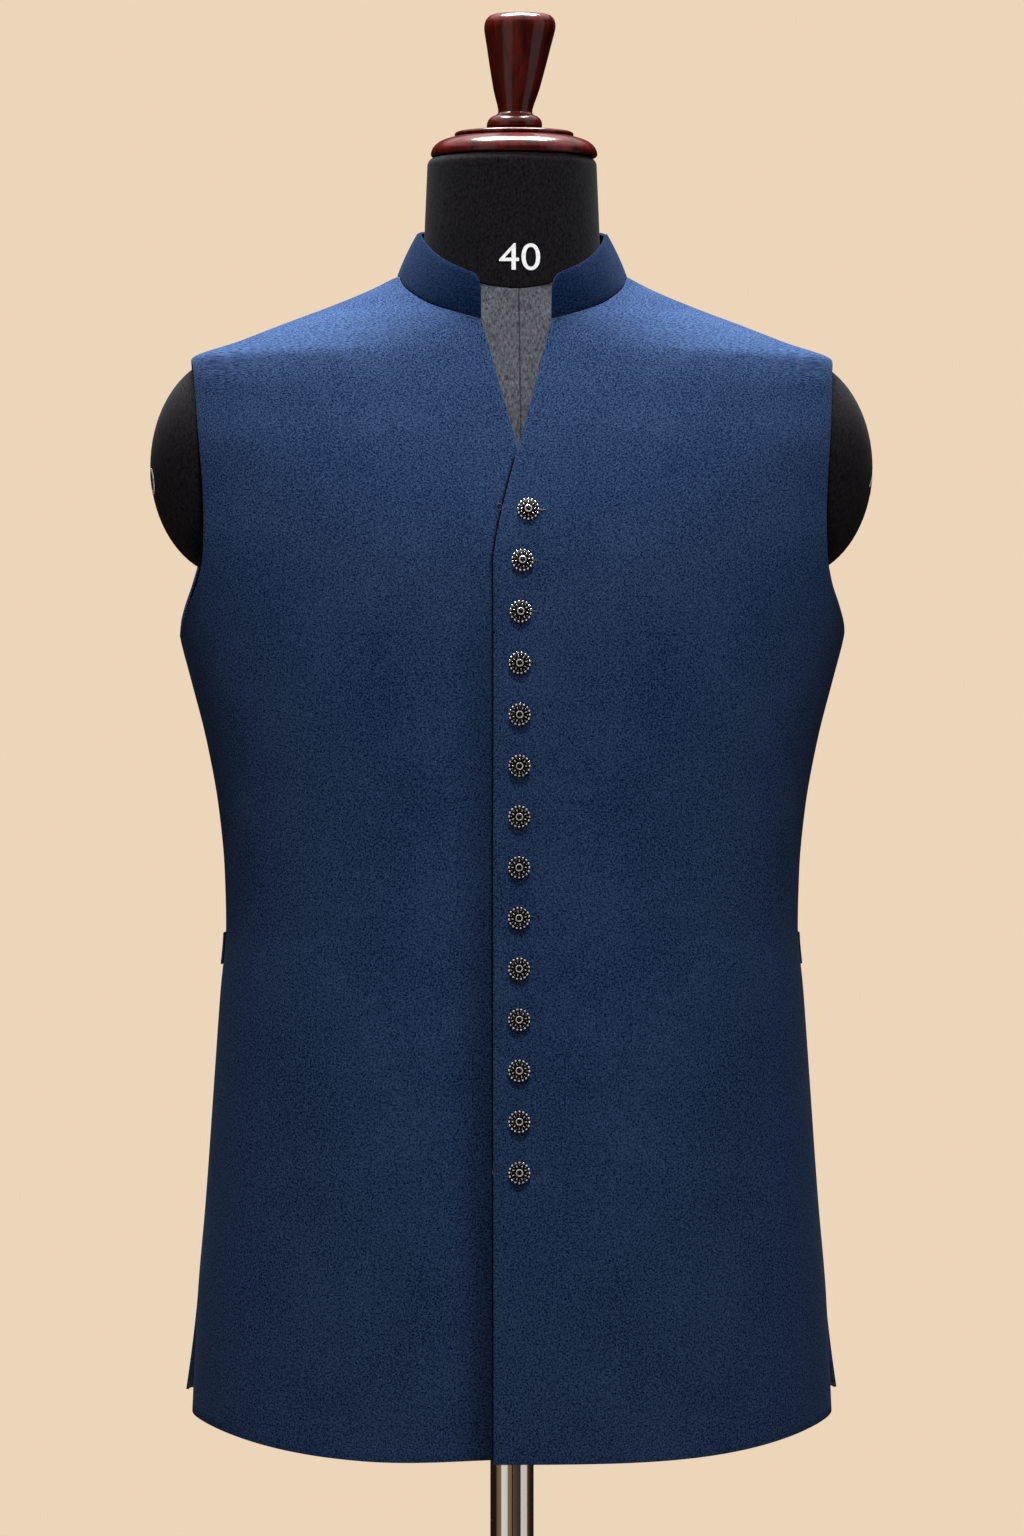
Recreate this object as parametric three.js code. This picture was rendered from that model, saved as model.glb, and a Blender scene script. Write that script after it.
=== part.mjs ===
// A sleeveless sherwani buttoned on a limbless dress form. Millimetres, +Z up.
// +X is the wearer's left, the fronts face -Y, and the origin is under the middle of the round base.
import * as THREE from "three";
import { mergeVertices } from "three/addons/utils/BufferGeometryUtils.js";

// ---- cloth and seams ----
const clothWall = 2;
const collarWall = 2.6;
const beltWall = 1.6;
const seamGap = 0.3;
const collarSeamGap = 0.5;

// ---- heights above the floor ----
const hemAtCentre = 645;
const hemAtVent = 671;
const backHemAtCentre = 662;
const backHemAtVent = 687;
const ventTop = 757;
const beltBottom = 990;
const beltTop = 1013;
const underarm = 1224;
const lapStraightTop = 1275;
const crossing = 1354;
const collarFrontSeam = 1446;
const shoulderTip = 1421;

// ---- widths from the centre line ----
const lap = 18;
const lapSwing = 1.3; // how late the front edge leaves the lap: 1 would be a straight line
const collarFrontGap = 25;
const neckHalfWidth = 82;
const neckFrontDepth = 79.1;
const neckBackDepth = 72;

// The garment's outer rings: half width at the side seam, depth before and behind it.
// Above the shoulder tip the half width follows the shoulder seam.
const garmentRings = {
  height: [640, 757, 822, 907, 971, 1018, 1057, 1100, 1150, 1193, 1224, 1260, 1300, 1354, 1395, 1421,
    1434, 1446, 1460, 1472, 1481, 1487, 1500],
  side: [229.5, 224, 218.5, 212.5, 208, 204, 205, 209, 218, 229, 237, 243, 246, 245, 236.5, 229,
    195, 164.5, 127.5, 99, 81.5, 70, 50],
  front: [128, 126, 124, 121, 119, 118, 119, 122, 127, 129, 129, 126.4, 120.6, 108.3, 95.5, 86.5,
    82.2, 78.3, 73.5, 69.8, 67.5, 66, 60],
  back: [126, 123, 120, 113, 103, 96, 96, 101, 109, 115, 118, 119, 120, 118, 111, 103,
    97, 90, 83, 77, 73.5, 72, 66],
};

// How square the rings are: 2 would be an ellipse, and a lower power draws out the shoulders' ridge.
const ringPowers = {
  height: [1354, 1395, 1421, 1434, 1446, 1460, 1472, 1481, 1487, 1500],
  front: [2.4, 2.4, 2.25, 2.05, 1.8, 1.5, 1.45, 1.75, 2, 2.2],
  back: [2.4, 2.4, 2.3, 2.15, 2, 1.9, 1.9, 1.95, 2, 2.2],
};

// The armhole's edge, as its distance from the centre line in the front view.
const armhole = {
  height: [1224, 1233, 1245, 1262, 1282, 1305, 1330, 1355, 1380, 1400, 1412, 1421],
  front: [237, 235, 230.5, 224, 220.5, 220, 221, 223, 225, 226.5, 227.5, 229],
  back: [237, 236.5, 234, 228.5, 223.5, 222, 223, 224.5, 226.5, 228, 228.5, 229],
};

// Rows of a panel: level up to the underarm, then fanned between its middle edge and the armhole.
const levelRows = [690, 724, 757, 800, 850, 900, 945, beltBottom, beltTop, 1050, 1095, 1140, 1185, underarm];
const chestRows = {
  frontEdge: [1250, lapStraightTop, 1300, 1327, crossing, 1385, 1416, collarFrontSeam],
  backMiddle: [1257, 1290, 1323, 1356, 1389, 1422, 1455, 1487],
  armhole: [1233, 1245, 1262, 1282, 1305, 1330, 1355, 1380],
};
// Stops along the neckline, in degrees from the shoulder seam, and how far up the armhole each row ends.
const neckPowers = { front: 2.3, back: 1.9 }; // how square the neckline is in the top view
const endStop = (halfWidth) => THREE.MathUtils.radToDeg(
  Math.acos((collarFrontGap / halfWidth) ** (neckPowers.front / 2)),
);
const neckEnd = endStop(neckHalfWidth);
const necklineTop = 1500; // no point of the neckline is higher
const frontNeckStops = [73, 69.5, 64.5, 57, 46.5, 34.5, 22, 10, 0];
const backNeckStops = [79, 68, 57, 46, 34, 23, 14, 6, 0];
const topArmholeHeights = [1385, 1390, 1395, 1400, 1405, 1410, 1415, 1418, shoulderTip];

const frontColumns = 18;
const backColumns = 13;

// ---- colours ----
const colours = {
  cloth: new THREE.MeshStandardMaterial({ color: 0x24385c, roughness: 0.9, side: THREE.DoubleSide }),
  formCloth: new THREE.MeshStandardMaterial({ color: 0x1b1a1c, roughness: 0.95 }),
  wood: new THREE.MeshStandardMaterial({ color: 0x571912, roughness: 0.2 }),
  silver: new THREE.MeshStandardMaterial({ color: 0x9a9690, roughness: 0.35, metalness: 1 }),
  chrome: new THREE.MeshStandardMaterial({ color: 0xc8c9cc, roughness: 0.12, metalness: 1 }),
  base: new THREE.MeshStandardMaterial({ color: 0x1c1c1e, roughness: 0.45, metalness: 0.3 }),
};

// ---- curves ----

// A smooth curve through a table's column that never overshoots its values, and its slope.
function curveAt(table, column, height) {
  const xs = table.height;
  const ys = table[column];
  const last = xs.length - 1;
  const at = THREE.MathUtils.clamp(height, xs[0], xs[last]);
  let i = 0;
  while (i < last - 1 && at > xs[i + 1]) i++;
  const rise = (k) => (ys[k + 1] - ys[k]) / (xs[k + 1] - xs[k]);
  const slopeAt = (k) => {
    if (k === 0) return rise(0);
    if (k === last) return rise(last - 1);
    const before = rise(k - 1);
    const after = rise(k);
    return before * after <= 0 ? 0 : (2 * before * after) / (before + after);
  };
  const width = xs[i + 1] - xs[i];
  const t = (at - xs[i]) / width;
  const start = slopeAt(i) * width;
  const end = slopeAt(i + 1) * width;
  const value = ys[i] * (1 + 2 * t) * (1 - t) ** 2 + start * t * (1 - t) ** 2
    + ys[i + 1] * t * t * (3 - 2 * t) + end * t * t * (t - 1);
  const slope = ((ys[i + 1] - ys[i]) * 6 * t * (1 - t) + start * (1 - t) * (1 - 3 * t)
    + end * t * (3 * t - 2)) / width;
  return { value, slope };
}

const signedPower = (value, power) => Math.sign(value) * Math.abs(value) ** power;
const mix = THREE.MathUtils.lerp;
const ramp = (value, from, to) => THREE.MathUtils.smoothstep(value, from, to);

const columnOf = (facing) => (facing < 0 ? "front" : "back");
const squareness = (facing, height) => curveAt(ringPowers, columnOf(facing), height).value;

// A point on the rings: angle 0 is the side seam at +X, -90 degrees the front, +90 degrees the back.
function bodyPoint(rings, angle, height) {
  const depth = curveAt(rings, columnOf(angle), height).value;
  const bend = 2 / squareness(angle, height);
  const x = curveAt(rings, "side", height).value * signedPower(Math.cos(angle), bend);
  return new THREE.Vector3(x, depth * signedPower(Math.sin(angle), bend), height);
}

function bodyNormal(rings, angle, height) {
  const side = curveAt(rings, "side", height);
  const depth = curveAt(rings, columnOf(angle), height);
  const power = curveAt(ringPowers, columnOf(angle), height);
  const across = Math.cos(angle);
  const along = Math.sin(angle);
  const falloff = across ** 2 * side.slope / side.value + along ** 2 * depth.slope / depth.value;
  const sharpening = [across ** 2, along ** 2].reduce(
    (sum, share) => sum + (share > 0 ? share * Math.log(share) : 0), 0,
  ) * power.slope / power.value ** 2;
  const bend = 2 - 2 / power.value;
  return new THREE.Vector3(
    signedPower(across, bend) / side.value,
    signedPower(along, bend) / depth.value,
    sharpening - falloff,
  ).normalize();
}

// The ring angle of a point given by its distance from the centre line. Facing is -1 front, 1 back.
function angleAtWidth(x, height, facing) {
  const share = THREE.MathUtils.clamp(x / curveAt(garmentRings, "side", height).value, -1, 1);
  return facing * Math.acos(signedPower(share, squareness(facing, height) / 2));
}

// The neckline is a rounded curve in the top view, laid on the rings: its height is where the ring
// meets it.
function necklineStop(degrees, facing) {
  const t = THREE.MathUtils.degToRad(degrees);
  const power = facing < 0 ? neckPowers.front : neckPowers.back;
  const x = neckHalfWidth * Math.cos(t) ** (2 / power);
  const y = (facing < 0 ? neckFrontDepth : neckBackDepth) * Math.sin(t) ** (2 / power);
  const shares = (height) => {
    const power = squareness(facing, height);
    return [
      (x / curveAt(garmentRings, "side", height).value) ** power,
      (y / curveAt(garmentRings, columnOf(facing), height).value) ** power,
    ];
  };
  let low = shoulderTip;
  let high = necklineTop;
  for (let step = 0; step < 40; step++) {
    const middle = (low + high) / 2;
    const [across, along] = shares(middle);
    if (across + along < 1) low = middle;
    else high = middle;
  }
  const [across, along] = shares(low);
  return { angle: facing * Math.atan2(Math.sqrt(along), Math.sqrt(across)), height: low };
}

// The front edge from hem to collar: straight, then swinging over to the centre line, then the V.
function frontEdgeWidth(height) {
  if (height <= lapStraightTop) return -lap;
  if (height <= crossing) {
    return -lap + lap * ((height - lapStraightTop) / (crossing - lapStraightTop)) ** lapSwing;
  }
  return collarFrontGap * (height - crossing) / (collarFrontSeam - crossing);
}

// ---- solids ----

// Joins triangles of a closed skin into a geometry with shared corners, turned to face outwards.
function closedGeometry(points, triangles) {
  let volume = 0;
  for (const [a, b, c] of triangles) {
    volume += points[a].dot(new THREE.Vector3().crossVectors(points[b], points[c]));
  }
  const turned = volume < 0 ? triangles.map(([a, b, c]) => [a, c, b]) : triangles;
  const geometry = new THREE.BufferGeometry().setFromPoints(points);
  geometry.setIndex(turned.flat());
  return geometry;
}

// A wall of cloth from grids of stations, each with an outer and an inner point. Grids that share
// outer points are joined there, and every free edge is closed from the outer to the inner side.
function wallGeometry(grids) {
  const stations = [];
  const known = new Map();
  const idOf = (station) => {
    const key = station.outer.toArray().map((v) => Math.round(v * 500)).join();
    if (!known.has(key)) known.set(key, stations.push(station) - 1);
    return known.get(key);
  };
  const skin = [];
  for (const { rows, flipped } of grids) {
    const ids = rows.map((row) => row.map(idOf));
    for (let i = 0; i + 1 < ids.length; i++) {
      for (let j = 0; j + 1 < ids[i].length; j++) {
        const quad = [ids[i][j], ids[i][j + 1], ids[i + 1][j + 1], ids[i + 1][j]];
        if (flipped) quad.reverse();
        skin.push([quad[0], quad[1], quad[2]], [quad[0], quad[2], quad[3]]);
      }
    }
  }
  const solid = skin.filter(([a, b, c]) => a !== b && b !== c && c !== a);
  const inside = stations.length;
  const edges = new Set(solid.flatMap(([a, b, c]) => [`${a},${b}`, `${b},${c}`, `${c},${a}`]));
  const triangles = solid.flatMap(([a, b, c]) => [[a, b, c], [c + inside, b + inside, a + inside]]);
  for (const edge of edges) {
    const [a, b] = edge.split(",").map(Number);
    if (!edges.has(`${b},${a}`)) triangles.push([b, a, a + inside], [b, a + inside, b + inside]);
  }
  const points = [...stations.map((s) => s.outer), ...stations.map((s) => s.inner)];
  return closedGeometry(points, triangles);
}

// A solid lofted through rings of points, closed at both ends.
function loftGeometry(rings) {
  const count = rings[0].length;
  const points = rings.flat();
  const triangles = [];
  for (let i = 0; i + 1 < rings.length; i++) {
    for (let j = 0; j < count; j++) {
      const next = (j + 1) % count;
      const quad = [i * count + j, i * count + next, (i + 1) * count + next, (i + 1) * count + j];
      triangles.push([quad[0], quad[1], quad[2]], [quad[0], quad[2], quad[3]]);
    }
  }
  const middleOf = (ring) => ring.reduce((sum, p) => sum.add(p), new THREE.Vector3()).divideScalar(count);
  const bottom = points.push(middleOf(rings[0])) - 1;
  const top = points.push(middleOf(rings.at(-1))) - 1;
  const topStart = (rings.length - 1) * count;
  for (let j = 0; j < count; j++) {
    const next = (j + 1) % count;
    triangles.push([bottom, next, j], [top, topStart + j, topStart + next]);
  }
  return closedGeometry(points, triangles);
}

// A lathe turned about Z from a profile of radius and height that starts and ends on the axis.
function turnedGeometry(profile, segments) {
  const points = profile.map(([radius, height]) => new THREE.Vector2(radius, height));
  const lathe = new THREE.LatheGeometry(points, segments).rotateX(Math.PI / 2);
  lathe.deleteAttribute("normal");
  lathe.deleteAttribute("uv");
  return mergeVertices(lathe, 1e-3);
}

function mesh(name, geometry, material) {
  geometry.computeVertexNormals();
  const made = new THREE.Mesh(geometry, material.clone());
  made.name = name;
  return made;
}

// ---- the cloth panels ----

// A station of a panel on the wearer's left. Mirror is -1 for the same panel on the right.
function panelStation(angle, height, { mirror = 1, inward = 0 }) {
  const normal = bodyNormal(garmentRings, angle, height);
  const outer = bodyPoint(garmentRings, angle, height).addScaledVector(normal, -inward);
  const inner = outer.clone().addScaledVector(normal, -clothWall);
  for (const point of [outer, inner]) point.x *= mirror;
  return { outer, inner, normal, angle, height };
}

// The free side edge of a panel: half a seam gap from the side line, plus the vent's opening.
function sideEdge(height, facing, ventOpening) {
  const depth = curveAt(garmentRings, columnOf(facing), height).value;
  const fromSide = seamGap / 2 + ventOpening * ramp(-height, -ventTop, -hemAtVent);
  return facing * (fromSide / depth) ** (squareness(facing, height) / 2);
}

// Row ends of a panel, from hem to shoulder seam: the middle edge and the side or armhole edge.
function rowEnds(facing, ventOpening, middleAt, hemMiddle, hemSide, chestMiddle, neckStops) {
  const armholeAt = (height) => {
    const edge = angleAtWidth(curveAt(armhole, columnOf(facing), height).value, height, facing);
    const least = sideEdge(height, facing, 0);
    return { angle: facing * Math.max(Math.abs(edge), Math.abs(least)), height };
  };
  const sideAt = (height) => ({ angle: sideEdge(height, facing, ventOpening), height });
  const level = levelRows.map((height) => ({ middle: middleAt(height), side: sideAt(height) }));
  const chest = chestMiddle.map((height, k) => (
    { middle: middleAt(height), side: armholeAt(chestRows.armhole[k]) }
  ));
  const neck = neckStops.map((degrees, k) => {
    const stop = necklineStop(degrees, facing);
    const least = sideEdge(stop.height, facing, 0);
    stop.angle = facing * Math.max(Math.abs(stop.angle), Math.abs(least));
    return { middle: stop, side: armholeAt(topArmholeHeights[k]) };
  });
  const hem = { middle: { ...middleAt(hemMiddle), height: hemMiddle }, side: sideAt(hemSide) };
  return [hem, ...level, ...chest, ...neck];
}

const hemHalfWidth = 228;
const hemSweep = 3.5; // how late the hem turns up towards the vent
const tuckIn = clothWall + 0.6; // how far the under front lies inside the upper one
const tuckFade = 75; // where the tuck has faded out, from the centre line
const underHemRise = 4;
const underHemFade = 110;
const columnSpread = 1.15; // above 1, the columns are closer together near the front edge
const frontVentGap = 3; // how far each panel's edge stands off the side line at the hem
const backVentGap = 1;

// The hem's height across a panel: level in the middle and rising to the vent.
const hemHeight = (x, centre, vent) => centre + (vent - centre) * (Math.abs(x) / hemHalfWidth) ** hemSweep;

function frontPanel(mirror, isUnder) {
  const middleAt = (height) => ({ angle: angleAtWidth(frontEdgeWidth(height), height, -1), height });
  const ends = rowEnds(
    -1, frontVentGap, middleAt, hemAtCentre, hemAtVent, chestRows.frontEdge, frontNeckStops,
  );
  const rows = ends.map(({ middle, side }, rowIndex) => {
    const row = [];
    for (let j = 0; j <= frontColumns; j++) {
      const share = (j / frontColumns) ** columnSpread;
      const angle = mix(middle.angle, side.angle, share);
      let height = mix(middle.height, side.height, share);
      const x = bodyPoint(garmentRings, angle, height).x;
      if (rowIndex === 0) {
        height = hemHeight(x, hemAtCentre, hemAtVent);
        if (isUnder) height += underHemRise * (1 - ramp(x, -lap, underHemFade));
      }
      const fade = (1 - ramp(x, lap, tuckFade)) * (1 - ramp(height, crossing, collarFrontSeam));
      row.push(panelStation(angle, height, { mirror, inward: isUnder ? tuckIn * fade : 0 }));
    }
    return row;
  });
  return wallGeometry([{ rows, flipped: mirror < 0 }]);
}

const ventFlare = 5; // how far the back's vent corners stand out at the hem
const flareReach = 8; // the higher, the closer the flare keeps to the vent

function halfBackRows(mirror) {
  const middleAt = (height) => ({ angle: Math.PI / 2, height });
  const ends = rowEnds(
    1, backVentGap, middleAt, backHemAtCentre, backHemAtVent, chestRows.backMiddle, backNeckStops,
  );
  return ends.map(({ middle, side }, rowIndex) => {
    const row = [];
    for (let j = 0; j <= backColumns; j++) {
      const share = j / backColumns;
      const angle = mix(middle.angle, side.angle, share);
      let height = mix(middle.height, side.height, share);
      const x = bodyPoint(garmentRings, angle, height).x;
      if (rowIndex === 0) height = hemHeight(x, backHemAtCentre, backHemAtVent);
      const flare = ventFlare * ((ventTop - Math.min(height, ventTop)) / (ventTop - backHemAtVent)) ** 1.5;
      row.push(panelStation(angle, height, { mirror, inward: -flare * Math.cos(angle) ** flareReach }));
    }
    return row;
  });
}

const backRows = { left: halfBackRows(1), right: halfBackRows(-1) };

function backPanel() {
  return wallGeometry([
    { rows: backRows.left, flipped: true },
    { rows: backRows.right, flipped: false },
  ]);
}

// The half belt lies on the back's own points between two of its rows, moved out.
function backBelt() {
  const first = 1 + levelRows.indexOf(beltBottom);
  const strip = (half, mirror) => half.slice(first, first + 2).map((row) => row.map((station) => {
    const normal = station.normal.clone();
    normal.x *= mirror;
    return {
      outer: station.outer.clone().addScaledVector(normal, seamGap + beltWall),
      inner: station.outer.clone().addScaledVector(normal, seamGap),
    };
  }));
  return wallGeometry([
    { rows: strip(backRows.left, 1), flipped: true },
    { rows: strip(backRows.right, -1), flipped: false },
  ]);
}

// ---- the collar ----
const collarTop = { halfWidth: 67.5, frontDepth: 78.3, backDepth: 69.5 };
const collarRise = { front: 30.5, side: 33, back: 37 };
const riseLateness = 1.5; // how late along the neckline the rise turns to its end value
const collarCorner = 8;
const collarBow = 0.8;
const collarRows = 4;

// One column of the collar at a stop of the neckline, from the seam to the top edge.
function collarColumn(degrees, facing, mirror) {
  const power = facing < 0 ? neckPowers.front : neckPowers.back;
  const end = facing < 0 ? neckEnd : 90;
  const topEnd = facing < 0 ? endStop(collarTop.halfWidth) : 90;
  const t = THREE.MathUtils.degToRad(degrees);
  const tTop = t * topEnd / end;
  const stop = necklineStop(degrees, facing);
  const base = bodyPoint(garmentRings, stop.angle, stop.height);
  base.z += collarSeamGap;
  const topDepth = facing < 0 ? collarTop.frontDepth : collarTop.backDepth;
  const endRise = facing < 0 ? collarRise.front : collarRise.back;
  const rise = mix(collarRise.side, endRise, (degrees / end) ** riseLateness);
  const top = new THREE.Vector3(
    collarTop.halfWidth * Math.cos(tTop) ** (2 / power),
    facing * topDepth * Math.sin(tTop) ** (2 / power),
    base.z + rise,
  );
  const fromEnd = THREE.MathUtils.degToRad(neckEnd - degrees) * collarTop.frontDepth;
  if (facing < 0 && fromEnd < collarCorner) {
    const cut = collarCorner - Math.sqrt(collarCorner ** 2 - (collarCorner - fromEnd) ** 2);
    top.lerp(base, cut / base.distanceTo(top));
  }
  const neckDepth = facing < 0 ? neckFrontDepth : neckBackDepth;
  const along = new THREE.Vector3(-neckHalfWidth * Math.sin(t), facing * neckDepth * Math.cos(t), 0);
  const up = top.clone().sub(base).normalize();
  const normal = along.cross(up).normalize().multiplyScalar(facing < 0 ? -1 : 1);
  const column = [];
  for (let k = 0; k <= collarRows; k++) {
    const share = k / collarRows;
    const outer = base.clone().lerp(top, share);
    outer.addScaledVector(normal, collarBow * 4 * share * (1 - share));
    const inner = outer.clone().addScaledVector(normal, -collarWall);
    for (const point of [outer, inner]) point.x *= mirror;
    column.push({ outer, inner });
  }
  return column;
}

function collar() {
  const frontStops = [neckEnd, ...frontNeckStops.slice(0, -1)];
  const halfColumns = (mirror) => [
    ...frontStops.map((degrees) => collarColumn(degrees, -1, mirror)),
    collarColumn(0, 1, mirror),
    ...backNeckStops.slice(0, -1).reverse().map((degrees) => collarColumn(degrees, 1, mirror)),
  ];
  const columns = [...halfColumns(1), collarColumn(90, 1, 1), ...halfColumns(-1).reverse()];
  return wallGeometry([{ rows: columns, flipped: false }]);
}

// ---- the buttons ----
const buttonCount = 14;
const firstButton = 1309.6;
const buttonPitch = 35.5;
const buttonRadius = 7.9;
// The top buttons sit where the lap swings over, so they stray from the centre line.
const buttonStray = [6.4, 2.1, 0.7];
const buttonProfile = [
  [0, 0], [2.2, 0], [2.2, 1.5], [6.4, 1.7], [buttonRadius, 2.6], [buttonRadius - 0.2, 3.5],
  [6.2, 4.9], [2.8, 6.2], [2.1, 7.1], [0, 7.5],
];
const buttonSegments = 12;

function buttons() {
  return Array.from({ length: buttonCount }, (_, k) => {
    const height = firstButton - k * buttonPitch;
    const angle = angleAtWidth(buttonStray[k] ?? 0, height, -1);
    const seat = bodyPoint(garmentRings, angle, height);
    const normal = bodyNormal(garmentRings, angle, height);
    const made = mesh(
      `button_${String(k + 1).padStart(2, "0")}`,
      turnedGeometry(buttonProfile, buttonSegments),
      colours.silver,
    );
    made.quaternion.setFromUnitVectors(new THREE.Vector3(0, 0, 1), normal);
    made.position.copy(seat).addScaledVector(normal, seamGap);
    return made;
  });
}

// ---- the dress form ----
const restGap = 1.5; // between the form and the cloth that rests on its shoulder ridge
const chestEase = 4; // between the form and the cloth in front of the shoulders
const bladeEase = 6.5; // and behind them
const shoulderDrop = clothWall + restGap;
const armPlate = 203; // the flat side that carries an arm cap, from the centre line
const torsoBottom = 780;
const neckSeamSide = 1494;
const neckSeamFrontDrop = 26;
const neckSeamBackRise = 6;
const seamBend = 1440; // above this the torso's rows lean towards the neck seam
const neckFoot = { side: 66, front: 63, back: 65 }; // half width and depths just under the neck
const formColumns = 36;

const neckTop = 1565.5;
const neckTopRound = 6;
const neckRadius = { foot: 62.4, seam: 63.2, top: 60.5 };

// The form's own rings below the chest. From there up it follows the inside of the cloth.
const lowerTorso = {
  height: [torsoBottom, 788, 850, 930, 1020, 1100, 1180, 1227, 1262, 1300, 1354],
  side: [160, 168, 172, 168, 160, 168, 184, 197, 207, 216, 220],
  front: [90, 98, 101, 102, 103, 110, 119, 121, 120, 113, 101],
  back: [94, 102, 104, 98, 86, 92, 104, 110, 112, 113, 112],
};
const shoulderHeights = [1380, 1400, 1412, 1420, 1427, 1434, 1441, 1448, 1455, 1462, 1469, 1476, 1484];

function formRings() {
  const follow = (column, rise, inset) => (
    shoulderHeights.map((z) => curveAt(garmentRings, column, z + rise).value - inset)
  );
  return {
    height: [...lowerTorso.height, ...shoulderHeights, neckSeamSide],
    side: [...lowerTorso.side, ...follow("side", shoulderDrop, 0), neckFoot.side],
    front: [...lowerTorso.front, ...follow("front", 0, clothWall + chestEase), neckFoot.front],
    back: [...lowerTorso.back, ...follow("back", 0, clothWall + bladeEase), neckFoot.back],
  };
}

// The seam between torso and neck is low in front and high behind.
function neckSeam(angle) {
  const along = Math.sin(angle);
  return along < 0 ? neckSeamSide - neckSeamFrontDrop * along ** 2 : neckSeamSide + neckSeamBackRise * along;
}

const aroundForm = Array.from({ length: formColumns }, (_, j) => (2 * Math.PI * j) / formColumns - Math.PI);

const neckRing = (radius, heightAt) => aroundForm.map((angle) => (
  new THREE.Vector3(radius * Math.cos(angle), radius * Math.sin(angle), heightAt(angle))
));

function torso() {
  const rings = formRings();
  const rows = rings.height.map((height) => aroundForm.map((angle) => {
    const lean = (neckSeam(angle) - seamBend) / (neckSeamSide - seamBend);
    const point = bodyPoint(rings, angle, height < seamBend ? height : seamBend + (height - seamBend) * lean);
    point.x = THREE.MathUtils.clamp(point.x, -armPlate, armPlate);
    return point;
  }));
  return loftGeometry([...rows, neckRing(neckRadius.foot, neckSeam)]);
}

function neck() {
  const straightTop = neckTop - neckTopRound;
  const foot = neckRing(neckRadius.foot, (angle) => neckSeam(angle) + seamGap);
  const sides = [0.06, 0.35, 0.65, 1].map((share) => neckRing(
    mix(neckRadius.seam, neckRadius.top, share),
    (angle) => mix(neckSeam(angle) + seamGap, straightTop, share),
  ));
  const rounded = [30, 60, 90].map((degrees) => {
    const t = THREE.MathUtils.degToRad(degrees);
    const radius = neckRadius.top - neckTopRound * (1 - Math.cos(t));
    return neckRing(radius, () => straightTop + neckTopRound * Math.sin(t));
  });
  return loftGeometry([foot, ...sides, ...rounded]);
}

// An arm cap: half an ellipsoid standing on the flat side of the torso.
const armCap = { centreX: 200, centreZ: 1345, reach: 58, depth: 53, rise: 79 };

function armCapGeometry(mirror) {
  const start = Math.asin((armPlate + seamGap - armCap.centreX) / armCap.reach);
  const steps = 8;
  const profile = [[0, Math.sin(start)]];
  for (let k = 0; k < steps; k++) {
    const t = mix(start, Math.PI / 2, k / steps);
    profile.push([Math.cos(t), Math.sin(t)]);
  }
  profile.push([0, 1]);
  const dome = turnedGeometry(profile, 28);
  dome.rotateY(mirror * Math.PI / 2);
  dome.scale(armCap.reach, armCap.depth, armCap.rise);
  return dome.translate(mirror * armCap.centreX, 0, armCap.centreZ);
}

// ---- wood and metal ----
const neckCapRadius = 59.5;
const neckCapBottom = neckTop + seamGap;
const stepRadius = 42.5;
const stepBottom = 1580;
const stepTop = 1584;
const neckCapShift = 1.5;
const roundFoot = 1.5;

function neckCap() {
  const shoulder = [0, 18, 36, 54, 72, 90].map((degrees) => {
    const t = THREE.MathUtils.degToRad(degrees);
    return [
      stepRadius + (neckCapRadius - stepRadius) * Math.cos(t),
      neckCapBottom + roundFoot + (stepBottom - neckCapBottom - roundFoot) * Math.sin(t),
    ];
  });
  const profile = [
    [0, neckCapBottom], [neckCapRadius - roundFoot, neckCapBottom], ...shoulder,
    [stepRadius, stepTop - 0.8], [stepRadius - 0.8, stepTop], [0, stepTop],
  ];
  return turnedGeometry(profile, 36).translate(neckCapShift, 0, 0);
}

// The handle leans a little: its rings stay level while their centres move over.
const handleLean = 0.055;
const handleRings = {
  height: [stepTop + seamGap, 1586.5, 1590, 1593.5, 1595.5, 1597.5, 1615, 1635, 1654, 1659, 1663.5,
    1666.8, 1668],
  radius: [17.5, 19.3, 19.7, 18.6, 15.5, 12.2, 16.6, 20.9, 24.8, 25.5, 24.8, 22, 17.5],
};

function handle() {
  const segments = 28;
  return loftGeometry(handleRings.height.map((height, k) => {
    const shift = neckCapShift + handleLean * (height - stepTop);
    return Array.from({ length: segments }, (_, j) => {
      const angle = (2 * Math.PI * j) / segments;
      const radius = handleRings.radius[k];
      return new THREE.Vector3(shift + radius * Math.cos(angle), radius * Math.sin(angle), height);
    });
  }));
}

const poleRadius = 15.5;
const baseRadius = 195;
const bossRadius = 30;
const baseBossTop = 30;

function pole() {
  const bottom = baseBossTop + seamGap;
  const top = torsoBottom - seamGap;
  return turnedGeometry([[0, bottom], [poleRadius, bottom], [poleRadius, top], [0, top]], 28);
}

function base() {
  const profile = [
    [0, 0], [baseRadius - 3, 0], [baseRadius, 3], [baseRadius, 7], [baseRadius - 4, 11],
    [bossRadius + 30, 17], [bossRadius + 5, 20], [bossRadius, 26], [bossRadius - 4, baseBossTop],
    [0, baseBossTop],
  ];
  return turnedGeometry(profile, 48);
}

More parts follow.
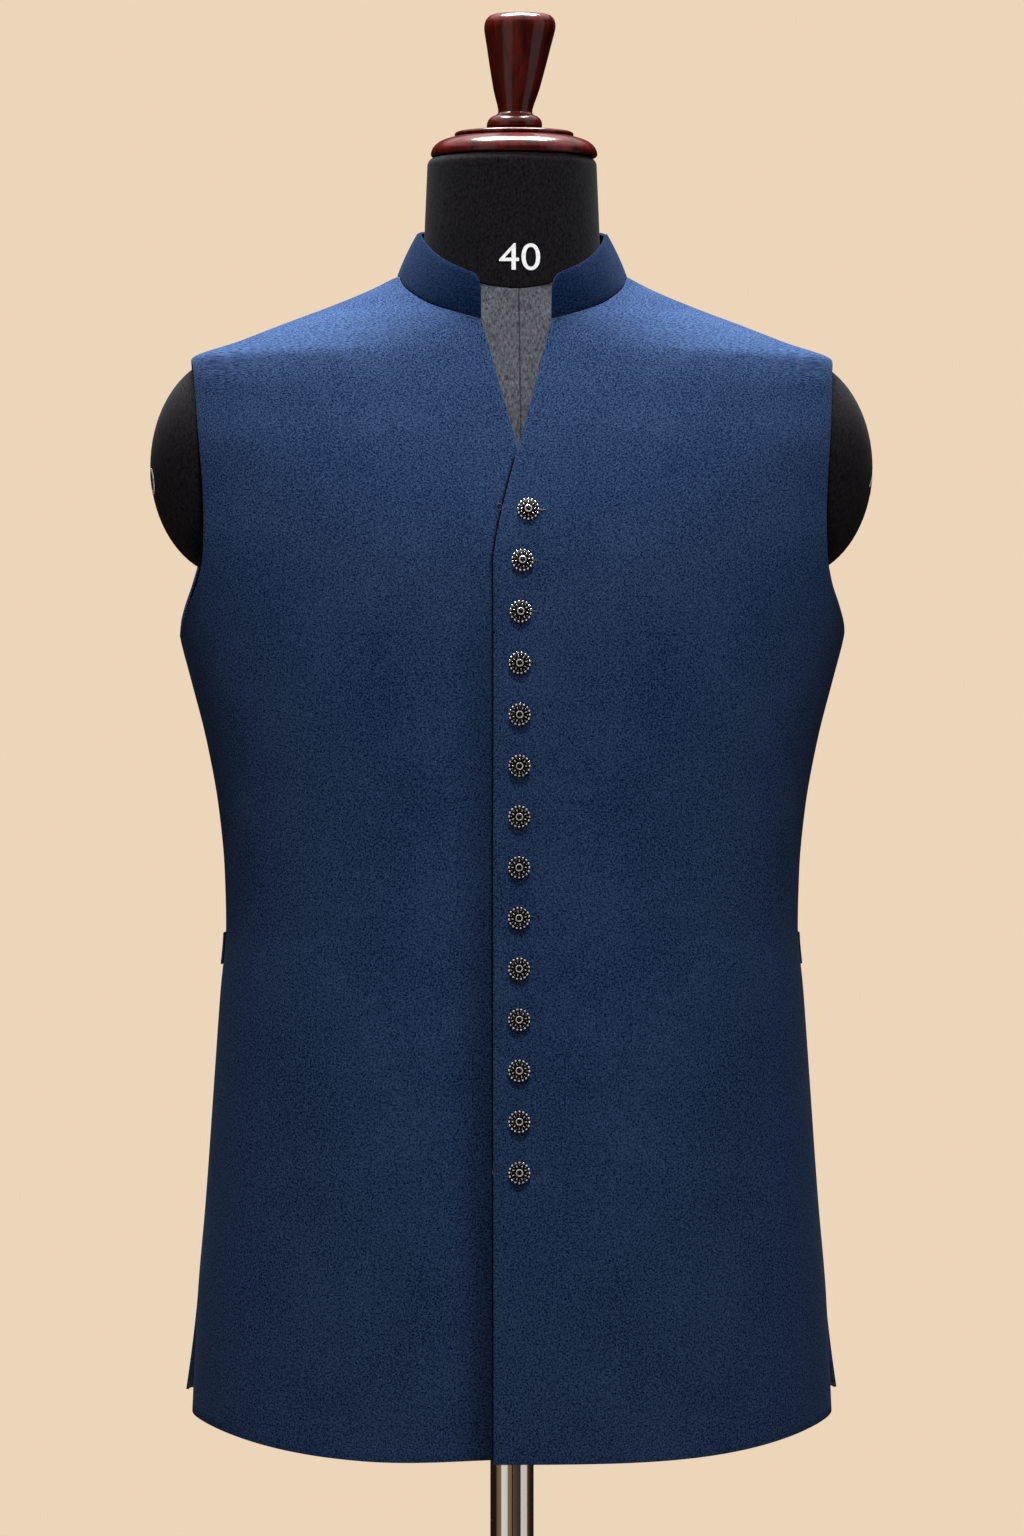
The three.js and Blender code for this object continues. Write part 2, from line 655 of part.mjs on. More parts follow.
const sherwani = new THREE.Group();
sherwani.add(
  mesh("front_left", frontPanel(1, false), colours.cloth),
  mesh("front_right", frontPanel(-1, true), colours.cloth),
  mesh("back", backPanel(), colours.cloth),
  mesh("collar", collar(), colours.cloth),
  mesh("back_belt", backBelt(), colours.cloth),
  ...buttons(),
);
const dressForm = new THREE.Group();
dressForm.add(
  mesh("form_torso", torso(), colours.formCloth),
  mesh("form_neck", neck(), colours.formCloth),
  mesh("form_cap_left", armCapGeometry(1), colours.formCloth),
  mesh("form_cap_right", armCapGeometry(-1), colours.formCloth),
  mesh("neck_cap", neckCap(), colours.wood),
  mesh("handle", handle(), colours.wood),
  mesh("pole", pole(), colours.chrome),
  mesh("base", base(), colours.base),
);

const part = new THREE.Group();
part.add(sherwani, dressForm);

export default part;
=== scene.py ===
"""A sleeveless sherwani buttoned on a limbless dress form, dressed over its packed construction.

Sizes in the tables are millimetres, as a cutter writes them. What is built is in metres.
"""

import math
from contextlib import contextmanager

import bpy
import numpy as np
from mathutils import Matrix, Vector


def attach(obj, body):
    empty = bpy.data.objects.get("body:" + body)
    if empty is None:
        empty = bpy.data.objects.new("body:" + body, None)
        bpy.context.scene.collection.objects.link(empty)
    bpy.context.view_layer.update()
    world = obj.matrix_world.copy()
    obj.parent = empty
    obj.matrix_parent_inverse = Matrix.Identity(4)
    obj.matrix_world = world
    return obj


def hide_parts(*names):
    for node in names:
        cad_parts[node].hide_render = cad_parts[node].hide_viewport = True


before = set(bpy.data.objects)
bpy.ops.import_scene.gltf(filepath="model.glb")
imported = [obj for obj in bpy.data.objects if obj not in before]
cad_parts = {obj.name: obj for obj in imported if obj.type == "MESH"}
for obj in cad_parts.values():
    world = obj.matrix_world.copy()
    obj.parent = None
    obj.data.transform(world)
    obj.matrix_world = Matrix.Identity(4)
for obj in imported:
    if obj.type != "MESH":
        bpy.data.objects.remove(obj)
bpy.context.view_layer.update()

scene = bpy.context.scene

MM = 0.001

# ---- the cut of the coat ----

CLOTH_WALL = 2.0
COLLAR_WALL = 2.6
BELT_WALL = 1.6
SEAM_GAP = 0.3
COLLAR_SEAM_SUNK = 0.15  # the sewn seam lies closer than a cut gap

HEM = {"front": {"centre": 645, "vent": 671, "gap": 3},
       "back": {"centre": 662, "vent": 687, "gap": 1}}
HEM_HALF_WIDTH = 228
HEM_SWEEP = 3.5
VENT_TOP = 757
# How far the back stands off at its vents, and how this grows downwards and towards the sides.
VENT_FLARE = {"out": 5, "down": 1.5, "aside": 8}
BELT_BOTTOM = 990
BELT_TOP = 1013
UNDERARM = 1224
LAP_STRAIGHT_TOP = 1275
CROSSING = 1354
COLLAR_FRONT_SEAM = 1446
SHOULDER_TIP = 1421
LAP = 18
LAP_SWING = 1.3
TUCK_IN = 2.6
TUCK_FADE = 75
UNDER_HEM = {"rise": 4, "fade": 110, "share": 0.05}  # the lower front's hem hides under the lap
LAP_CROWDING = 1.15  # draws the fronts' columns together towards the lap
COLLAR_FRONT_GAP = 25
NECK_HALF_WIDTH = 82
NECK_FRONT_DEPTH = 79.1
NECK_BACK_DEPTH = 72
NECK_POWER = {"front": 2.3, "back": 1.9}  # how square the neckline is in the top view
SHOULDER_SEAM = 8  # how far the shoulder seam lies in front of the ridge

COAT = {
    "height": [640, 757, 822, 907, 971, 1018, 1057, 1100, 1150, 1193, 1224, 1260, 1300, 1354, 1395,
               1421, 1434, 1446, 1460, 1472, 1481, 1487, 1500],
    "side": [229.5, 224, 218.5, 212.5, 208, 204, 205, 209, 218, 229, 237, 243, 246, 245, 236.5,
             229, 195, 164.5, 127.5, 99, 81.5, 70, 50],
    "front": [128, 126, 124, 121, 119, 118, 119, 122, 127, 129, 129, 126.4, 120.6, 108.3, 95.5,
              86.5, 82.2, 78.3, 73.5, 69.8, 67.5, 66, 60],
    "back": [126, 123, 120, 113, 103, 96, 96, 101, 109, 115, 118, 119, 120, 118, 111,
             103, 97, 90, 83, 77, 73.5, 72, 66],
}
# How square the rings are: 2 would be an ellipse, and less draws out the shoulders' ridge.
SQUARENESS = {
    "height": [1354, 1395, 1421, 1434, 1446, 1460, 1472, 1481, 1487, 1500],
    "front": [2.4, 2.4, 2.25, 2.05, 1.8, 1.5, 1.45, 1.75, 2, 2.2],
    "back": [2.4, 2.4, 2.3, 2.15, 2, 1.9, 1.9, 1.95, 2, 2.2],
}
ARMHOLE = {
    "height": [1224, 1233, 1245, 1262, 1282, 1305, 1330, 1355, 1380, 1400, 1412, 1421],
    "front": [237, 235, 230.5, 224, 220.5, 220, 221, 223, 225, 226.5, 227.5, 229],
    "back": [237, 236.5, 234, 228.5, 223.5, 222, 223, 224.5, 226.5, 228, 228.5, 229],
}
# Where the fanned rows of the chest start and end, step by step from the underarm.
FAN = {
    "height": range(9),
    "front": [1224, 1250, 1275, 1300, 1327, 1354, 1385, 1416, 1446],
    "back": [1224, 1257, 1290, 1323, 1356, 1389, 1422, 1455, 1487],
    "armhole": [1224, 1233, 1245, 1262, 1282, 1305, 1330, 1355, 1380],
}
# The rows over the shoulder: degrees round the neckline and the armhole's height at each step.
OVER = {
    "height": range(10),
    "front": [75.21, 73, 69.5, 64.5, 57, 46.5, 34.5, 22, 10, 0],
    "back": [90, 79, 68, 57, 46, 34, 23, 14, 6, 0],
    "armhole": [1380, 1385, 1390, 1395, 1400, 1405, 1410, 1415, 1418, 1421],
}
# Shares of a panel's rows that are level, and fanned over the chest. The rest go over the shoulder.
LEVEL_SHARE = 0.58
FAN_SHARE = 0.26

# Soft drags in the cloth, seen from the front: from x and z, to x and z, half width, and depth.
DRAGS = [
    (-196, 1216, -118, 1262, 15, 0.8), (198, 1214, 122, 1258, 15, 0.8),
    (-192, 1000, -120, 1022, 13, 0.8), (192, 1002, 124, 1026, 13, 0.8),
    (-150, 880, -163, 690, 24, 1.6), (150, 868, 166, 690, 24, 1.6),
    (-78, 800, -92, 668, 26, 1.0), (96, 800, 104, 668, 26, 1.0),
]
# Where a drag sets in and dies out, as shares of its length.
DRAG_START = (-0.25, 0.35)
DRAG_END = (0.6, 1.3)

NECK_HALVINGS = 40  # steps of the searches by halves
SEAM_HALVINGS = 30
TINY = 1e-12


def mix(start, end, share):
    return start + (end - start) * share


def power(value, exponent):
    """A power that keeps the value's sign."""
    return np.sign(value) * np.abs(value) ** exponent


def ramp(value, start, end):
    """0 before the start and 1 after the end, with a smooth rise between."""
    share = np.clip((value - start) / (end - start), 0, 1)
    return share * share * (3 - 2 * share)


def curve(table, column, at):
    """A smooth curve through a table's column that never overshoots its values, and its slope."""
    xs, ys = np.array(table["height"], float), np.array(table[column], float)
    rise = np.diff(ys) / np.diff(xs)
    before, after = rise[:-1], rise[1:]
    same = before * after > 0
    inner = np.where(same, 2 * before * after / np.where(same, before + after, 1), 0)
    slopes = np.concatenate([rise[:1], inner, rise[-1:]])
    at = np.clip(at, xs[0], xs[-1])
    i = np.clip(np.searchsorted(xs, at) - 1, 0, len(xs) - 2)
    width = xs[i + 1] - xs[i]
    t = (at - xs[i]) / width
    start, end = slopes[i] * width, slopes[i + 1] * width
    value = (ys[i] * (1 + 2 * t) * (1 - t) ** 2 + start * t * (1 - t) ** 2
             + ys[i + 1] * t * t * (3 - 2 * t) + end * t * t * (t - 1))
    slope = ((ys[i + 1] - ys[i]) * 6 * t * (1 - t) + start * (1 - t) * (1 - 3 * t)
             + end * t * (3 * t - 2)) / width
    return value, slope


def ahead_or_behind(table, turn, height):
    """A table's front or back column, as its value and slope, by the sign of a turn."""
    front, back = curve(table, "front", height), curve(table, "back", height)
    return [np.where(turn < 0, ahead, behind) for ahead, behind in zip(front, back)]


def squareness(turn, height):
    return ahead_or_behind(SQUARENESS, turn, height)[0]


def on_rings(rings, angle, height):
    """Points of a ring body. Angle 0 is its side at +X, and a quarter turn back is its front."""
    side, depth = curve(rings, "side", height)[0], ahead_or_behind(rings, angle, height)[0]
    bend = 2 / squareness(angle, height)
    return np.stack([side * power(np.cos(angle), bend), depth * power(np.sin(angle), bend),
                     height + 0 * angle], -1)


def off_rings(rings, angle, height):
    """The outward directions at those points."""
    side, side_slope = curve(rings, "side", height)
    depth, depth_slope = ahead_or_behind(rings, angle, height)
    square, square_slope = ahead_or_behind(SQUARENESS, angle, height)
    across, along = np.cos(angle), np.sin(angle)
    fall = across**2 * side_slope / side + along**2 * depth_slope / depth
    spread = sum(part**2 * np.log(np.maximum(part**2, TINY)) for part in (across, along))
    bend = 2 - 2 / square
    out = np.stack([power(across, bend) / side, power(along, bend) / depth,
                    spread * square_slope / square**2 - fall], -1)
    return out / np.linalg.norm(out, axis=-1, keepdims=True)


def halved(low, high, steps, holds):
    """The highest value between low and high for which something still holds, by halves."""
    for _ in range(steps):
        middle = (low + high) / 2
        held = holds(middle)
        low, high = np.where(held, middle, low), np.where(held, high, middle)
    return low


def angle_at(x, height, facing):
    """The angle at which the coat's ring is this far from the centre line, in front or behind."""
    share = np.clip(x / curve(COAT, "side", height)[0], -1, 1)
    return facing * np.arccos(power(share, squareness(facing, height) / 2))


def neck_end(half_width):
    """Degrees at which a neckline of this half width ends beside the front opening."""
    return math.degrees(math.acos((COLLAR_FRONT_GAP / half_width) ** (NECK_POWER["front"] / 2)))


NECK_END = neck_end(NECK_HALF_WIDTH)


def around_neck(half_width, front, back, degrees):
    """A curve round the neck in the top view, by degrees from its side, negative in front."""
    t = np.radians(degrees)
    depth = np.where(degrees < 0, front, back)
    square = np.where(degrees < 0, NECK_POWER["front"], NECK_POWER["back"])
    return half_width * power(np.cos(t), 2 / square), depth * power(np.sin(t), 2 / square)


def neckline(degrees):
    """Angle and height of the neckline, by degrees from its side, negative in front."""
    x, y = around_neck(NECK_HALF_WIDTH, NECK_FRONT_DEPTH, NECK_BACK_DEPTH, degrees)

    def shares(height):
        square = squareness(degrees, height)
        depth = ahead_or_behind(COAT, degrees, height)[0]
        return (x / curve(COAT, "side", height)[0]) ** square, np.abs(y / depth) ** square

    height = halved(np.full_like(x, SHOULDER_TIP), np.full_like(x, COAT["height"][-1]),
                    NECK_HALVINGS, lambda height: sum(shares(height)) < 1)
    across, along = shares(height)
    return np.where(degrees < 0, -1, 1) * np.arctan2(np.sqrt(along), np.sqrt(across)), height


def armhole_top(turn):
    """Angle and height of the armhole's top. The turn is -1 in front, 0 at the tip, 1 behind."""
    height = SHOULDER_TIP - (SHOULDER_TIP - OVER["armhole"][0]) * turn**2
    x = ahead_or_behind(ARMHOLE, turn, height)[0]
    return angle_at(x, height, np.where(turn < 0, -1, 1)), height


def turn_at_seam(forward):
    """The armhole's turn where it is this far in front of the ridge."""
    def short(turn):
        return -on_rings(COAT, *armhole_top(-turn))[1] < forward
    return -halved(np.array(0.0), np.array(1.0), SEAM_HALVINGS, short)


def front_edge(height):
    """The left front's edge, by its distance from the centre line: straight, then out to the V."""
    swing = np.clip((height - LAP_STRAIGHT_TOP) / (CROSSING - LAP_STRAIGHT_TOP), 0, 1)
    below = -LAP + LAP * swing**LAP_SWING
    above = COLLAR_FRONT_GAP * (height - CROSSING) / (COLLAR_FRONT_SEAM - CROSSING)
    return np.where(height <= CROSSING, below, above)


def side_edge(height, facing, gap):
    """The angle of a panel's side edge. The gap opens downwards through the vent."""
    depth = ahead_or_behind(COAT, facing, height)[0]
    off = SEAM_GAP / 2 + gap * ramp(-height, -VENT_TOP, -HEM["front"]["vent"])
    return facing * (off / depth) ** (squareness(facing, height) / 2)


def half_panel(facing, share, up):
    """Angle and height of a half panel's points, by share from its middle and up from its hem."""
    side = "front" if facing < 0 else "back"
    hem = HEM[side]

    def middle_edge(height):
        if facing > 0:
            return np.full_like(height, math.pi / 2)
        return angle_at(front_edge(height), height, -1)

    def armhole_edge(height):
        edge = np.abs(angle_at(curve(ARMHOLE, side, height)[0], height, facing))
        return facing * np.maximum(edge, np.abs(side_edge(height, facing, 0)))

    at_hem = np.full_like(up, hem["centre"])
    rough = mix(middle_edge(at_hem), side_edge(at_hem, facing, hem["gap"]), share)
    x = on_rings(COAT, rough, at_hem)[..., 0]
    foot = mix(hem["centre"], hem["vent"], np.abs(x / HEM_HALF_WIDTH) ** HEM_SWEEP)
    level = mix(foot, UNDERARM, np.clip(up / LEVEL_SHARE, 0, 1))
    level_angle = mix(middle_edge(level), side_edge(level, facing, hem["gap"]), share)

    step = FAN["height"][-1] * np.clip((up - LEVEL_SHARE) / FAN_SHARE, 0, 1)
    inner, outer = curve(FAN, side, step)[0], curve(FAN, "armhole", step)[0]
    fan = mix(inner, outer, share)
    fan_angle = mix(middle_edge(inner), armhole_edge(outer), share)

    over_share = np.clip((up - LEVEL_SHARE - FAN_SHARE) / (1 - LEVEL_SHARE - FAN_SHARE), 0, 1)
    step = OVER["height"][-1] * over_share
    seam = SHOULDER_SEAM - facing * SEAM_GAP / 2
    seam_degrees = -math.degrees(math.asin((seam / NECK_FRONT_DEPTH) ** (NECK_POWER["front"] / 2)))
    whole = NECK_END if facing < 0 else 90
    stop = mix(seam_degrees, facing * whole, curve(OVER, side, step)[0] / whole)
    climb = (SHOULDER_TIP - curve(OVER, "armhole", step)[0]) / (SHOULDER_TIP - OVER["armhole"][0])
    turn = mix(turn_at_seam(seam), facing, np.sqrt(climb))
    (inner_angle, inner), (outer_angle, outer) = neckline(stop), armhole_top(turn)
    over, over_angle = mix(inner, outer, share), mix(inner_angle, outer_angle, share)

    parts = [up <= LEVEL_SHARE, up <= LEVEL_SHARE + FAN_SHARE]
    return (np.select(parts, [level_angle, fan_angle], over_angle),
            np.select(parts, [level, fan], over))


def drags(points):
    """How far the soft drags pull the cloth in at these points."""
    pull = np.zeros(points.shape[:-1])
    x, z = points[..., 0], points[..., 2]
    for from_x, from_z, to_x, to_z, half, depth in DRAGS:
        run = np.array([to_x - from_x, to_z - from_z], float)
        length = np.linalg.norm(run)
        run /= length
        along = (x - from_x) * run[0] + (z - from_z) * run[1]
        off = (x - from_x) * run[1] - (z - from_z) * run[0]
        start, end = (ramp(along, a * length, b * length) for a, b in (DRAG_START, DRAG_END))
        pull += depth * (start * (1 - end)) * np.exp(-((off / half) ** 2))
    return pull * (points[..., 1] < 0)


def front_points(mirror, under):
    """The shape of a front. The right one is a mirrored left one that tucks in under the lap."""
    def shape(share, up):
        angle, height = half_panel(-1, share**LAP_CROWDING, up)
        points = on_rings(COAT, angle, height)
        x = points[..., 0]
        fade = 0.0
        if under:
            height = height + (UNDER_HEM["rise"] * (1 - ramp(x, -LAP, UNDER_HEM["fade"]))
                               * np.clip(1 - up / UNDER_HEM["share"], 0, 1))
            points = on_rings(COAT, angle, height)
            fade = (1 - ramp(x, LAP, TUCK_FADE)) * (1 - ramp(height, CROSSING, COLLAR_FRONT_SEAM))
        side = points * [mirror, 1, 1]
        inward = TUCK_IN * fade + drags(side)
        return side - off_rings(COAT, angle, height) * [mirror, 1, 1] * inward[..., None]
    return shape


def laid_back(angle, height, share, out):
    """Points over the back, this far off it. The first half of the share is the mirrored side."""
    drop = np.clip(VENT_TOP - height, 0, None) / (VENT_TOP - HEM["back"]["vent"])
    flare = VENT_FLARE["out"] * drop ** VENT_FLARE["down"]
    lift = out + flare * np.cos(angle) ** VENT_FLARE["aside"] * (angle > 0)
    points = on_rings(COAT, angle, height) + off_rings(COAT, angle, height) * lift[..., None]
    points[..., 0] *= np.where(share < 0.5, -1.0, 1.0)
    return points


def back_points(share, up):
    angle, height = half_panel(1, np.abs(2 * share - 1), up)
    return laid_back(angle, height, share, 0.0)


def belt_points(share, up):
    height = mix(BELT_BOTTOM, BELT_TOP, up)
    angle = mix(math.pi / 2, side_edge(height, 1, 0), np.abs(2 * share - 1))
    return laid_back(angle, height, share, SEAM_GAP + BELT_WALL)


COLLAR_TOP = {"half_width": 67.5, "front": 78.3, "back": 69.5}
COLLAR_RISE = {"front": 30.5, "side": 33, "back": 37, "sweep": 1.5}
COLLAR_TOP_END = neck_end(COLLAR_TOP["half_width"])
COLLAR_CORNER = 8
COLLAR_BOW = 0.8
# How far the collar's soft top edge gives over the shoulders, and over how many degrees.
SIDE_DIP = {"depth": 2.4, "spread": 13.0}


def collar_points(share, up):
    """The stand collar, from its front end on the wearer's left round the back to the other end."""
    round_by = mix(-NECK_END, 180 + NECK_END, share)
    mirror = np.where(round_by > 90, -1.0, 1.0)
    degrees = np.where(round_by > 90, 180 - round_by, round_by)
    front = degrees < 0
    angle, height = neckline(degrees)
    base = on_rings(COAT, angle, height) + [0, 0, COLLAR_SEAM_SUNK]
    end_share = np.abs(degrees) / np.where(front, NECK_END, 90)
    rise = mix(COLLAR_RISE["side"], np.where(front, COLLAR_RISE["front"], COLLAR_RISE["back"]),
               end_share ** COLLAR_RISE["sweep"])
    rise = rise - SIDE_DIP["depth"] * np.exp(-(degrees / SIDE_DIP["spread"]) ** 2)
    at_top = degrees * np.where(front, COLLAR_TOP_END / NECK_END, 1)
    x, y = around_neck(COLLAR_TOP["half_width"], COLLAR_TOP["front"], COLLAR_TOP["back"], at_top)
    top = np.stack([x, y, base[..., 2] + rise], -1)
    from_end = np.radians(NECK_END - np.abs(degrees)) * COLLAR_TOP["front"]
    near = np.clip(COLLAR_CORNER - from_end, 0, COLLAR_CORNER) * front
    cut = COLLAR_CORNER - np.sqrt(COLLAR_CORNER**2 - near**2)
    length = np.linalg.norm(top - base, axis=-1)
    top = mix(top, base, (cut / length)[..., None])
    t, neck_depth = np.radians(degrees), np.where(front, NECK_FRONT_DEPTH, NECK_BACK_DEPTH)
    along = np.stack([-NECK_HALF_WIDTH * np.sin(t), neck_depth * np.cos(t), 0 * t], -1)
    out = np.cross(along, top - base)
    out /= np.linalg.norm(out, axis=-1, keepdims=True)
    points = mix(base, top, up[..., None]) + out * (COLLAR_BOW * 4 * up * (1 - up))[..., None]
    points[..., 0] *= mirror
    return points


# ---- the dress form ----

REST_GAP = 1.5
CHEST_EASE = 4
BLADE_EASE = 6.5
ARM_PLATE = 203
TORSO_BOTTOM = 780
NECK_SEAM = {"side": 1494, "front_drop": 26, "back_rise": 6}
NECK_FRONT = NECK_SEAM["side"] - NECK_SEAM["front_drop"]
SEAM_BEND = 1440  # above it the torso's rows lean to the neck's seam
NECK_TOP = 1565.5
NECK_TOP_ROUND = 6
NECK_RADIUS = {"foot": 62.4, "seam": 63.2, "top": 60.5}
SHOULDER_HEIGHTS = np.array([1380, 1400, 1412, 1420, 1427, 1434, 1441, 1448, 1455, 1462, 1469,
                             1476, 1484.0])
FORM = {
    "height": [780, 788, 850, 930, 1020, 1100, 1180, 1227, 1262, 1300, 1354,
               *SHOULDER_HEIGHTS, 1494],
    "side": [160, 168, 172, 168, 160, 168, 184, 197, 207, 216, 220,
             *curve(COAT, "side", SHOULDER_HEIGHTS + CLOTH_WALL + REST_GAP)[0], 66],
    "front": [90, 98, 101, 102, 103, 110, 119, 121, 120, 113, 101,
              *curve(COAT, "front", SHOULDER_HEIGHTS)[0] - CLOTH_WALL - CHEST_EASE, 63],
    "back": [94, 102, 104, 98, 86, 92, 104, 110, 112, 113, 112,
             *curve(COAT, "back", SHOULDER_HEIGHTS)[0] - CLOTH_WALL - BLADE_EASE, 65],
}
# The groove down the torso's front, in all that lies ahead of this y.
FRONT_SEAM = {"top_x": 3.0, "bottom_x": 0.5, "half": 0.9, "depth": 0.7, "ahead": -40}
# Shares of the torso's way up: where its underside ends and where its top starts. The last is
# how much of the top runs in to the neck's foot.
TORSO_PARTS = (0.05, 0.97, 0.4)
# Shares of the neck's way up: where its underside and its tucked foot end, how long its side is,
# where its top starts, and how long the top's rounding and the top's disc are.
NECK_PARTS = (0.04, 0.08, 0.76, 0.84, 0.1, 0.06)
CLOSED_BELOW_SEAM = {"torso": 8.0, "neck": 6}
NECK_LIP = 0.6


def neck_seam(angle):
    """The height of the seam between torso and neck."""
    along = np.sin(angle)
    return NECK_SEAM["side"] + np.where(along < 0, -NECK_SEAM["front_drop"] * along**2,
                                        NECK_SEAM["back_rise"] * along)


def torso_points(angle, up):
    """The padded torso, from the middle of its underside over its side to the neck's foot."""
    under, over, cuff = TORSO_PARTS
    seam = neck_seam(angle)
    climb = np.clip((up - under) / (over - under), 0, 1)
    raw = TORSO_BOTTOM + (NECK_SEAM["side"] - TORSO_BOTTOM) * climb
    lean = (seam - SEAM_BEND) / (NECK_SEAM["side"] - SEAM_BEND)
    height = np.where(raw < SEAM_BEND, raw, SEAM_BEND + (raw - SEAM_BEND) * lean)
    side = on_rings(FORM, angle, height)
    side[..., 0] = np.clip(side[..., 0], -ARM_PLATE, ARM_PLATE)
    foot = NECK_RADIUS["foot"]
    top = np.stack([foot * np.cos(angle), foot * np.sin(angle), seam], -1)
    low = np.clip(up / under, 0, 1)
    high = np.clip((up - over) / (1 - over), 0, 1)[..., None]
    side = np.where(up[..., None] < under, side * np.stack([low, low, 1 + 0 * low], -1), side)
    middle = np.array([0, 0, NECK_SEAM["side"] - CLOSED_BELOW_SEAM["torso"]])
    cap = np.where(high < cuff, mix(side, top, high / cuff),
                   mix(top, middle, (high - cuff) / (1 - cuff)))
    points = np.where(up[..., None] > over, cap, side)
    line = mix(FRONT_SEAM["bottom_x"], FRONT_SEAM["top_x"],
               (points[..., 2] - CROSSING) / (NECK_FRONT - CROSSING))
    groove = FRONT_SEAM["depth"] * np.exp(-(((points[..., 0] - line) / FRONT_SEAM["half"]) ** 2))
    points[..., 1] += groove * (points[..., 1] < FRONT_SEAM["ahead"]) * (up > under) * (up < over)
    return points


def neck_points(angle, up):
    """The padded neck, from the middle of its underside over its side to the middle of its top."""
    under, tucked, side, top, bend, disc = NECK_PARTS
    straight = NECK_TOP - NECK_TOP_ROUND
    foot = neck_seam(angle) + SEAM_GAP
    share = np.clip((up - tucked) / side, 0, 1)
    radius = mix(NECK_RADIUS["seam"], NECK_RADIUS["top"], share)
    tuck = mix(NECK_RADIUS["foot"], NECK_RADIUS["seam"],
               np.sqrt(np.clip((up - under) / under, 0, 1)))
    radius = np.where(up < tucked, tuck, radius)
    height = mix(foot + NECK_LIP * (up >= under), straight, share)
    turn = np.clip((up - top) / bend, 0, 1) * math.pi / 2
    radius = np.where(up > top, NECK_RADIUS["top"] - NECK_TOP_ROUND * (1 - np.cos(turn)), radius)
    height = np.where(up > top, straight + NECK_TOP_ROUND * np.sin(turn), height)
    close = np.where(up < under, up / under, np.clip((1 - up) / disc, 0, 1))
    underside = mix(NECK_SEAM["side"] - CLOSED_BELOW_SEAM["neck"], foot, close)
    height = np.where(up < under, underside, height)
    radius = radius * close
    return np.stack([radius * np.cos(angle), radius * np.sin(angle), height], -1)


# ---- making ----

DISC = bpy.ops.mesh.primitive_circle_add
BALL = bpy.ops.mesh.primitive_uv_sphere_add
TORUS = bpy.ops.mesh.primitive_torus_add
SHARP = math.radians(50)  # edges that turn by more are rounded
GRID_DIGITS = 5  # enough to tell a grid's rows and columns apart


def alone(*pieces):
    """Selects these pieces and nothing else, and makes the first the active one."""
    bpy.ops.object.select_all(action="DESELECT")
    for piece in pieces:
        piece.select_set(True)
    if pieces:
        bpy.context.view_layer.objects.active = pieces[0]


@contextmanager
def editing(piece):
    """Edit mode on this piece alone, with all of its mesh selected at the start."""
    alone(piece)
    bpy.ops.object.mode_set(mode="EDIT")
    bpy.ops.mesh.select_all(action="SELECT")
    yield
    bpy.ops.object.mode_set(mode="OBJECT")


def named(piece, name):
    piece.name = piece.data.name = name
    return piece


def started(name, add, **how):
    """A primitive, alone in the selection, under its own name."""
    alone()
    add(**how)
    return named(bpy.context.object, name)


def settled(piece):
    """Moves the piece's place, turn and scale into its mesh."""
    alone(piece)
    bpy.ops.object.transform_apply(location=True, rotation=True, scale=True)
    return piece


def applied(piece, kind, **settings):
    alone(piece)
    modifier = piece.modifiers.new(kind.lower(), kind)
    for key, value in settings.items():
        setattr(modifier, key, value)
    bpy.ops.object.modifier_apply(modifier=modifier.name)


def rounded(piece, width, segments):
    applied(piece, "BEVEL", width=width * MM, segments=segments, limit_method="ANGLE",
            angle_limit=SHARP)


def smoothed(piece, degrees=35):
    alone(piece)
    bpy.ops.object.shade_smooth_by_angle(angle=math.radians(degrees))
    return piece


def coordinates(piece):
    flat = np.empty(len(piece.data.vertices) * 3)
    piece.data.vertices.foreach_get("co", flat)
    return flat.reshape(-1, 3)


def place(piece, points):
    piece.data.vertices.foreach_set("co", np.asarray(points, float).ravel())
    piece.data.update()


def faced_out(piece):
    """Turns the faces of an open sheet so that most of them look away from the pole."""
    out = [face.normal.dot(Vector((face.center.x, face.center.y, 0))) > 0
           for face in piece.data.polygons]
    if out.count(True) < out.count(False):
        with editing(piece):
            bpy.ops.mesh.flip_normals()


def lay_grain(piece, across, up, points):
    """Lays metres along each row and up each column as the UV map. Gives the flat size, which is
    the longest row and the longest column."""
    across, up = np.round(across, GRID_DIGITS), np.round(up, GRID_DIGITS)
    order = np.lexsort((across, up))
    grid = points[order].reshape(-1, len(np.unique(across)), 3)
    along, climb = np.zeros(grid.shape[:2]), np.zeros(grid.shape[:2])
    along[:, 1:] = np.cumsum(np.linalg.norm(np.diff(grid, axis=1), axis=-1), axis=1)
    climb[1:] = np.cumsum(np.linalg.norm(np.diff(grid, axis=0), axis=-1), axis=0)
    uv = np.empty((len(points), 2))
    uv[order] = np.stack([along.ravel(), climb.ravel()], -1)
    corners = np.empty(len(piece.data.loops), int)
    piece.data.loops.foreach_get("vertex_index", corners)
    piece.data.uv_layers.active.data.foreach_set("uv", uv[corners].ravel())
    return np.ptp(along, axis=1).max(), np.ptp(climb, axis=0).max()


